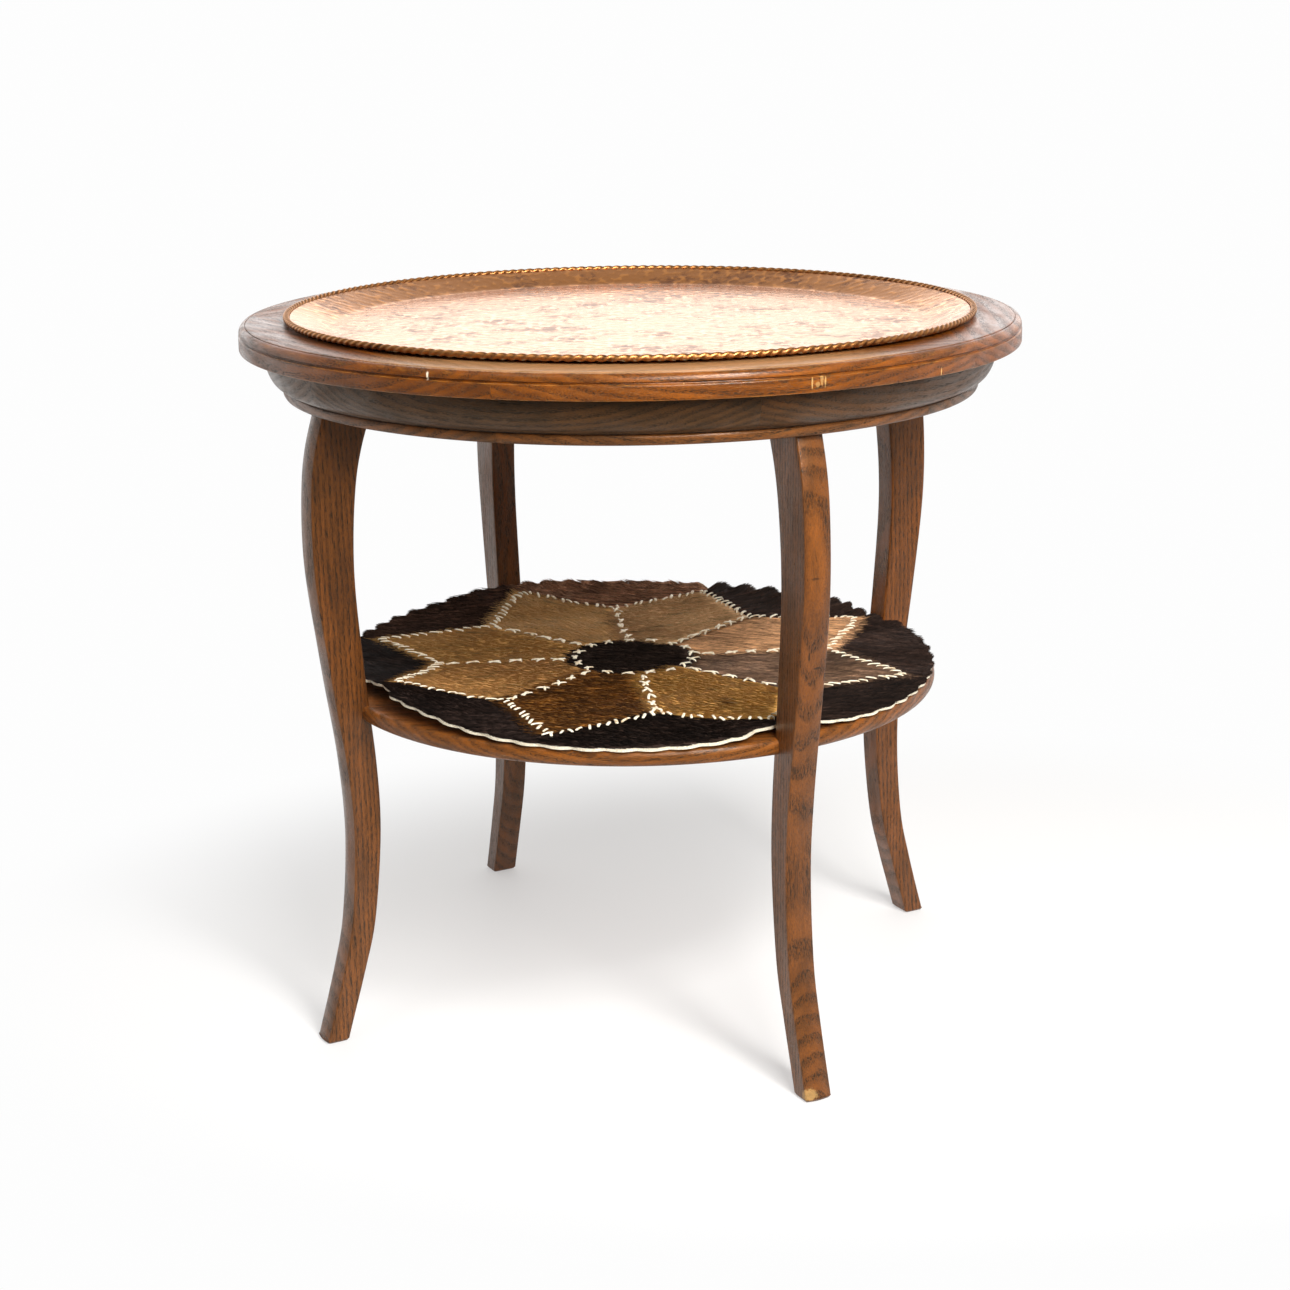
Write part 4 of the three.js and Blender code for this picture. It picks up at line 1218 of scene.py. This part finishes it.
def seam_radius(azimuth):
    """The star's outline: the straight line from a tip to the next hollow, in polar form."""
    half = math.radians(TURN_STEP / 2)
    off = np.radians(np.abs((azimuth - FIRST_TIP + TURN_STEP / 2) % TURN_STEP - TURN_STEP / 2))
    return TIP_R * NOTCH_R * math.sin(half) / (NOTCH_R * np.sin(half - off) + TIP_R * np.sin(off))


def lift(x, y):
    """Rucks: a bell round each leg's azimuth that rises smoothly towards the edge."""
    azimuth, r = azimuth_of(x, y), np.hypot(x, y)
    t = np.clip((r - MAT_R + RUCK_REACH) / RUCK_REACH, 0, 1)
    rise = t * t * (3 - 2 * t)
    bells = [
        high * np.exp(-((turn_between(azimuth, at) / wide) ** 2))
        for at, wide, high in zip(RUCK_AT, RUCKS, LIFTS)
    ]
    return rise * sum(bells)


def crowd(x, y):
    """Pushes points near a leg inwards so that the edge stops short of it."""
    azimuth, r = azimuth_of(x, y), np.hypot(x, y)
    limit = LEG_INNER - LEG_GAP
    start = limit - SQUEEZE
    edge = MAT_R - MAT_SHIFT
    nearest = np.min([np.abs(turn_between(azimuth, leg)) for leg in LEG_AZIMUTHS], axis=0)
    squeezed = start + (r - start) * (limit - start) / (edge - start)
    pushed = np.where(r > start, r + np.exp(-((nearest / CROWDING) ** 4)) * (squeezed - r), r)
    scale = (pushed - 0.7 * lift(x, y)) / np.maximum(r, 1e-9)
    return x * scale, y * scale


def settle_on_shelf(x, y, above):
    """Flat mat coordinates and a height above the underside, laid on the shelf with its rucks."""
    fine = 0.35 * MM * ripple(x, y, 21, 0.05) * np.clip((np.hypot(x, y) - 0.1) / 0.1, 0, 1)
    azimuth, r = polar(x, y)
    near_edge = np.clip((r - MAT_R) / (18 * MM) + 1, 0, 1)
    near_back = np.clip(0.15 - np.cos(np.radians(azimuth)), 0, 1)
    curl = CURL * scallop(azimuth) * near_edge * near_back
    height = UNDERSIDE + lift(x, y) + above + np.maximum(fine, 0) + curl
    px, py = crowd(x, y)
    return np.stack(np.broadcast_arrays(px, py, height), axis=-1)


print("mat", round(2 * MAT_R, 4), "m across; legs' inner faces at", round(LEG_INNER, 4))

# %% [markdown]
# ## Leather
# Under the hair is one connected sheet of pale tanned leather. Only its cut edge is seen, as a
# cream line along the front. It is a polar grid of rings out to the scallops, closed by a side
# wall and an underside.

# %% Leather sheet
def hide_leather_finish():
    """Cream leather: fibrous fine grain, darker where the hair grows from it."""
    material, tree, shader = new_finish("cream_leather", Specular_IOR_Level=0.3, Roughness=0.75)
    where = object_place(tree)
    fibre = noise(tree, where, 900.0, 3, 0.6)
    cream = blend(tree, ramp(tree, fibre, 0.3, 0.75), tone(244, 236, 214), tone(206, 188, 156))
    colour = blend(tree, read_mark(tree, "hairy"), cream, read_mark(tree, "skin", "Color"))
    feed(tree, shader["Base Color"], colour)
    feed(tree, shader["Normal"], bump(tree, fibre, 0.0002, 0.6))
    return material


def piece_of(x, y):
    """0 for the eye, 1 to 8 for the star's pieces, 9 to 16 for the border's."""
    azimuth, r = polar(x, y)
    star = (np.floor((azimuth - FIRST_TIP + TURN_STEP / 2) / TURN_STEP) % POINTS).astype(int)
    border = (np.floor((azimuth - FIRST_TIP) / TURN_STEP) % POINTS).astype(int)
    return np.where(r < EYE_R, 0, np.where(r < seam_radius(azimuth), 1 + star, 1 + POINTS + border))


HAIR_TONES = [  # the eye, then the star and the border from the front towards +X
    (46, 36, 31),
    (118, 75, 28), (240, 182, 98), (86, 64, 48), (156, 117, 82),
    (222, 180, 132), (246, 192, 120), (234, 179, 106), (238, 179, 108),
    (36, 26, 21), (34, 24, 19), (38, 27, 22), (54, 40, 33),
    # The first of these, (160, 122, 98), is the black back piece painted brown-grey: painted sheen of
    # its hair seen at a grazing angle against the bright wall.
    (160, 122, 98), (74, 54, 44), (38, 28, 24), (38, 28, 24),
]
SKIN = np.array([tone(*t) for t in HAIR_TONES]) * [0.65, 0.65, 0.65, 1]


def add_leather():
    """Rings by azimuths, upper face, side and underside."""
    steps, rings = 768, 44
    azimuth = np.arange(steps)[None, :] * 360 / steps
    share = np.linspace(0.004, 1, rings)[:, None]
    x, y = on_mat(azimuth, share * edge_radius(azimuth))
    over = settle_on_shelf(x, y, LEATHER)
    under = settle_on_shelf(x, y, 0.0)[::-1]
    points = np.concatenate([over, under]).reshape(-1, 3)
    rows = 2 * rings
    last = (rows - 1) * steps
    caps = [np.arange(steps)[None, ::-1], last + np.arange(steps)[None, :]]
    faces = [grid_faces(rows, steps, ring_columns=True), *caps]
    hairy = np.concatenate([np.repeat(share < 0.99, steps, 1), np.zeros((rings, steps))])
    skin = SKIN[piece_of(x, y)]
    skin = np.concatenate([skin, skin[::-1]])
    leather = add_piece(
        "hide_leather", points, faces, hide_leather_finish(), "mat", "brown_hide", 50,
        hairy=hairy.ravel(), skin=skin.reshape(-1, 4),
    )
    area = 0.5 * float(np.mean(edge_radius(azimuth) ** 2)) * 2 * math.pi
    print("leather cut area", round(area, 4), "square metres")
    return leather, area


leather, leather_area = add_leather()

# %% [markdown]
# ## Hair
# Short cattle hair lies nearly flat, each piece of hide with its own lie, and it is what gives the
# mat its silky streaks. A particle system would hang on the object, so each hair is its own thin
# spike of four faces, scattered evenly over the plan and laid along its piece's direction with a
# gentle swirl. Its colour comes from its piece, from long streaks along the lie, and from painted
# shade at the root to painted light at the tip. Each hair is as wide as a small tuft, which covers
# the skin with fewer.

# %% Hair
HAIRS = 165000
LIE = [
    178,
    176, 164, -10, -28, 205, 148, 178, 187,
    170, 10, -22, 28, 176, 192, 152, 200,
]
SWIRL = [8, 12, 14, 50, 26, 36, 18, 10, 12, 18, 14, 24, 20, 20, 16, 20, 24]
# painted shade at the root and painted light at the tip: the brightness at the four points of a hair
PAINTED_ROOT_SHADE_TO_TIP_LIGHT = np.array([0.55, 0.55, 1.05, 1.6])  # brightness at the four points of a hair
HAIR_FACES = ([0, 1, 2], [0, 2, 3], [2, 1, 3], [1, 0, 3])
BRIGHTEST = 0.9
PALE_SHARE = 0.06
HAIR_LENGTH, HAIR_WIDTH, HAIR_RISE = (9, 21), (0.28, 0.5), (0.5, 2.3)  # mm, least and most
LIE_SCATTER = 7  # degrees


def hair_finish(name, gloss):
    """Glossy keratin: its colour is stored at each point, its roughness varies in patches."""
    material, tree, shader = new_finish(name, Specular_IOR_Level=gloss)
    patch = noise(tree, object_place(tree), 60.0, 2, 0.5)
    feed(tree, shader["Base Color"], read_mark(tree, "strand", "Color"))
    feed(tree, shader["Roughness"], ramp(tree, patch, 0.3, 0.7, 0.38, 0.56))
    return material


def grow(seed=12):
    """Roots spread evenly over the disc, their directions, lengths and colours, as arrays."""
    rng = np.random.default_rng(seed)
    azimuth = rng.uniform(-180, 180, HAIRS)
    radius = MAT_R * np.sqrt(rng.uniform(0, 1, HAIRS))
    x, y = on_mat(azimuth, radius)
    keep = radius < edge_radius(azimuth) - 1.2 * MM
    x, y = x[keep], y[keep]
    which = piece_of(x, y)
    starred = (which > 0) & (which <= POINTS)
    base_lie = np.array(LIE, float)[which]
    swirl = np.array(SWIRL, float)[which] * ripple(x, y, 30, 0.11)
    lie = np.radians(base_lie + swirl + rng.normal(0, LIE_SCATTER, len(x)))
    along, across = np.cos(lie), np.sin(lie)
    length = rng.uniform(*HAIR_LENGTH, len(x)) * np.where(starred, 1.0, 0.8) * MM
    azimuth_tip, r_tip = polar(x + along * length, y + across * length)
    _, r_root = polar(x, y)
    front = np.clip(np.cos(np.radians(azimuth_tip)), 0, 1)
    allowed = edge_radius(azimuth_tip) + (3.0 - 3.0 * front) * MM
    over = r_tip > allowed
    fit = np.clip((allowed - r_root) / np.maximum(r_tip - r_root, 1e-6), 0.12, 1)
    length = np.where(over, length * fit, length)
    tones = np.array([tone(*t)[:3] for t in HAIR_TONES])[which]
    base_lie = np.radians(base_lie)
    u = x * np.cos(base_lie) + y * np.sin(base_lie)
    v = -x * np.sin(base_lie) + y * np.cos(base_lie)
    streak = ripple(u / 7 + which * 0.31, v + 0.03 * which, 40, 0.0075, 11)
    patch = ripple(x, y, 41, 0.045)
    light = np.exp(0.55 * streak + 0.3 * patch + rng.normal(0, 0.3, len(x)))
    tones = tones * np.clip(light, 0.2, 3.2)[:, None]
    pale = (rng.uniform(0, 1, len(x)) < PALE_SHARE) & starred
    tones = np.where(pale[:, None], tones * 1.4 + [0.05, 0.032, 0.016], tones)
    return x, y, along, across, length, which, tones, rng


def spikes(x, y, along, across, length, tones, rng):
    """Four points a hair: a small triangle at the root and a tip that rises a little.

    A colour brighter than BRIGHTEST is scaled down as a whole, which keeps its hue.
    """
    width = rng.uniform(*HAIR_WIDTH, len(x)) * MM
    rise = rng.uniform(*HAIR_RISE, len(x)) * MM * np.clip(length / (9 * MM), 0.3, 1)
    ground = LEATHER - 0.3 * MM
    bend = rng.normal(0, 0.9, len(x)) * MM
    tip_x = x + along * length - across * bend
    tip_y = y + across * length + along * bend
    tip = settle_on_shelf(tip_x, tip_y, ground + 0.5 * MM + rise)
    left = settle_on_shelf(x - across * width, y + along * width, ground)
    right = settle_on_shelf(x + across * width, y - along * width, ground)
    high = settle_on_shelf(x, y, ground + 0.75 * MM + 0.35 * rise)
    points = np.stack([left, right, high, tip], axis=1).reshape(-1, 3)
    first = 4 * np.arange(len(x))[:, None]
    faces = np.concatenate([first + corners for corners in HAIR_FACES])
    # painted shade darkens each root, painted light brightens each tip
    colour = tones[:, None, :] * PAINTED_ROOT_SHADE_TO_TIP_LIGHT[None, :, None]
    colour = colour / np.maximum(colour.max(axis=2, keepdims=True) / BRIGHTEST, 1)
    colour = np.concatenate([colour, np.ones((len(x), 4, 1))], axis=2).reshape(-1, 4)
    return points, faces, colour


def add_hair():
    """One piece of hair for each piece of hide; each stands for that CAD node."""
    brown, black = hair_finish("brown_hair", 0.35), hair_finish("black_hair", 0.16)
    *roots, which, tones, rng = grow()
    coats = []
    pieces = ["mat_eye"] + [f"mat_{row}_{k + 1}" for row in ("star", "border") for k in range(POINTS)]
    for k, node in enumerate(pieces):
        mine = which == k
        points, faces, colour = spikes(*(part[mine] for part in roots), tones[mine], rng)
        material, slot = (brown, "brown_hide") if "star" in node else (black, "black_hide")
        name = node.replace("mat_", "hair_")
        coat = add_piece(name, points, [faces], material, "mat", slot, 0, strand=colour)
        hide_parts(node)
        coats.append(coat)
    print(len(which), "hairs on", len(coats), "pieces")
    return coats


coats = add_hair()

# %% [markdown]
# ## Lacing
# The pieces are laced with a narrow cream thong: slanting whip stitches close together along the
# star's outline, and crossed pairs further apart between the kites and round the eye. One stitch
# is a short flat strip that arches over the seam. All are made at once: an array of middles and
# directions, times a small grid for the strip.

# %% Lacing
THONG_WIDTH = 2.9 * MM
THONG_THICK = 1.2 * MM
WHIP_SPACING, WHIP_LENGTH, WHIP_SLANT = 8.6 * MM, 13 * MM, 48
CROSS_SPACING, CROSS_LENGTH = 18 * MM, 16.5 * MM
EYE_CROSSINGS, EYE_LENGTH = 17, 14 * MM
ARCH = 2.5 * MM
SLANT_SCATTER = 14  # degrees
STITCH_SCATTER = 1.1 * MM


def thong_finish():
    """Cream raw hide, a little dirty in its hollows."""
    material, tree, shader = new_finish("cream_thong", Specular_IOR_Level=0.4, Roughness=0.55)
    where = object_place(tree)
    dirt = ramp(tree, noise(tree, where, 160.0, 3, 0.6), 0.42, 0.75)
    feed(tree, shader["Base Color"], blend(tree, dirt, tone(255, 246, 220), tone(206, 174, 128)))
    feed(tree, shader["Normal"], bump(tree, noise(tree, where, 1100.0, 2, 0.5), 0.0002, 0.5))
    return material


def seam(start, end, spacing):
    """Middles of stitches evenly along a straight seam, with the seam's direction."""
    start, end = np.array(start, float), np.array(end, float)
    long = np.linalg.norm(end - start)
    count = max(2, round(long / spacing))
    t = (np.arange(count) + 0.5) / count
    way = (end - start) / long
    return start + t[:, None] * (end - start), np.tile(way, (count, 1))


def all_stitches():
    """Middle, direction angle and length of every stitch."""
    rng = np.random.default_rng(77)
    rows = []
    for k in range(POINTS):
        tip = FIRST_TIP + k * TURN_STEP
        hollow = tip + TURN_STEP / 2
        places = ((tip, TIP_R), (hollow, NOTCH_R), (tip + TURN_STEP, TIP_R))
        first, notch, second = (np.array(on_mat(a, r)) for a, r in places)
        for a, b, slant in ((first, notch, WHIP_SLANT), (notch, second, -WHIP_SLANT)):
            middles, ways = seam(a, b, WHIP_SPACING)
            rows.append((middles, ways, np.full(len(middles), slant), WHIP_LENGTH))
        inner = np.array(on_mat(hollow, EYE_R + 4 * MM))
        middles, ways = seam(inner, notch, CROSS_SPACING)
        for slant in (28, -24):
            rows.append((middles, ways, np.full(len(middles), slant), CROSS_LENGTH))
    azimuth = FIRST_TIP + (np.arange(EYE_CROSSINGS) + 0.5) * 360 / EYE_CROSSINGS
    x, y = on_mat(azimuth, EYE_R)
    ways = np.stack([np.cos(np.radians(azimuth)), np.sin(np.radians(azimuth))], 1)
    for slant in (38, -38):
        rows.append((np.stack([x, y], 1), ways, np.full(EYE_CROSSINGS, slant), EYE_LENGTH))
    middles, ways, slants = (np.concatenate([row[part] for row in rows]) for part in range(3))
    slants = np.radians(slants + rng.normal(0, SLANT_SCATTER, len(middles)))
    lengths = np.concatenate([np.full(len(row[0]), row[3]) for row in rows])
    lengths = lengths * rng.uniform(0.72, 1.2, len(middles))
    angles = np.arctan2(ways[:, 1], ways[:, 0]) + slants
    middles = middles + rng.normal(0, STITCH_SCATTER, middles.shape)
    return middles, angles, lengths, rng


def add_lacing():
    """Each strip: rings of eight points along it, arched, narrowing into its holes."""
    middles, angles, lengths, rng = all_stitches()
    count, rings, sides = len(middles), 7, 8
    t = np.linspace(-1, 1, rings)[None, :, None]
    around = (np.arange(sides) * 2 * np.pi / sides)[None, None, :]
    narrow = np.sqrt(np.clip(1.04 - t**4, 0.04, 1))
    wide = THONG_WIDTH / 2 * rng.uniform(0.75, 1.1, (count, 1, 1))
    side = wide * narrow * np.cos(around)
    high = THONG_THICK / 2 * narrow * np.sin(around)
    bow = rng.normal(0, 0.5 * MM, (count, 1, 1)) * (1 - t * t)
    forward = lengths[:, None, None] / 2 * t
    direction = angles[:, None, None]
    x = middles[:, 0, None, None] + forward * np.cos(direction) - (side + bow) * np.sin(direction)
    y = middles[:, 1, None, None] + forward * np.sin(direction) + (side + bow) * np.cos(direction)
    uneven = rng.uniform(-0.3, 0.3, (count, 1, 1)) * MM
    arch = LEATHER + ARCH * np.clip(1 - t**4, 0, 1) ** 0.5 + uneven
    points = settle_on_shelf(x, y, arch + high).reshape(-1, 3)
    one = grid_faces(rings, sides, ring_columns=True)
    starts = (np.arange(count) * rings * sides)[:, None]
    quads = (starts[:, :, None] + one[None, :, :]).reshape(-1, 4)
    near = starts + np.arange(sides)[None, ::-1]
    far = starts + (rings - 1) * sides + np.arange(sides)[None, :]
    faces = [quads, near, far]
    lacing = add_piece("hide_lacing", points, faces, thong_finish(), "mat", "brown_hide", 60)
    print(count, "stitches")
    return lacing


lacing = add_lacing()

# %% Sizes
print("frame's box", [round(v, 4) for v in (*cad_low, *cad_high)])
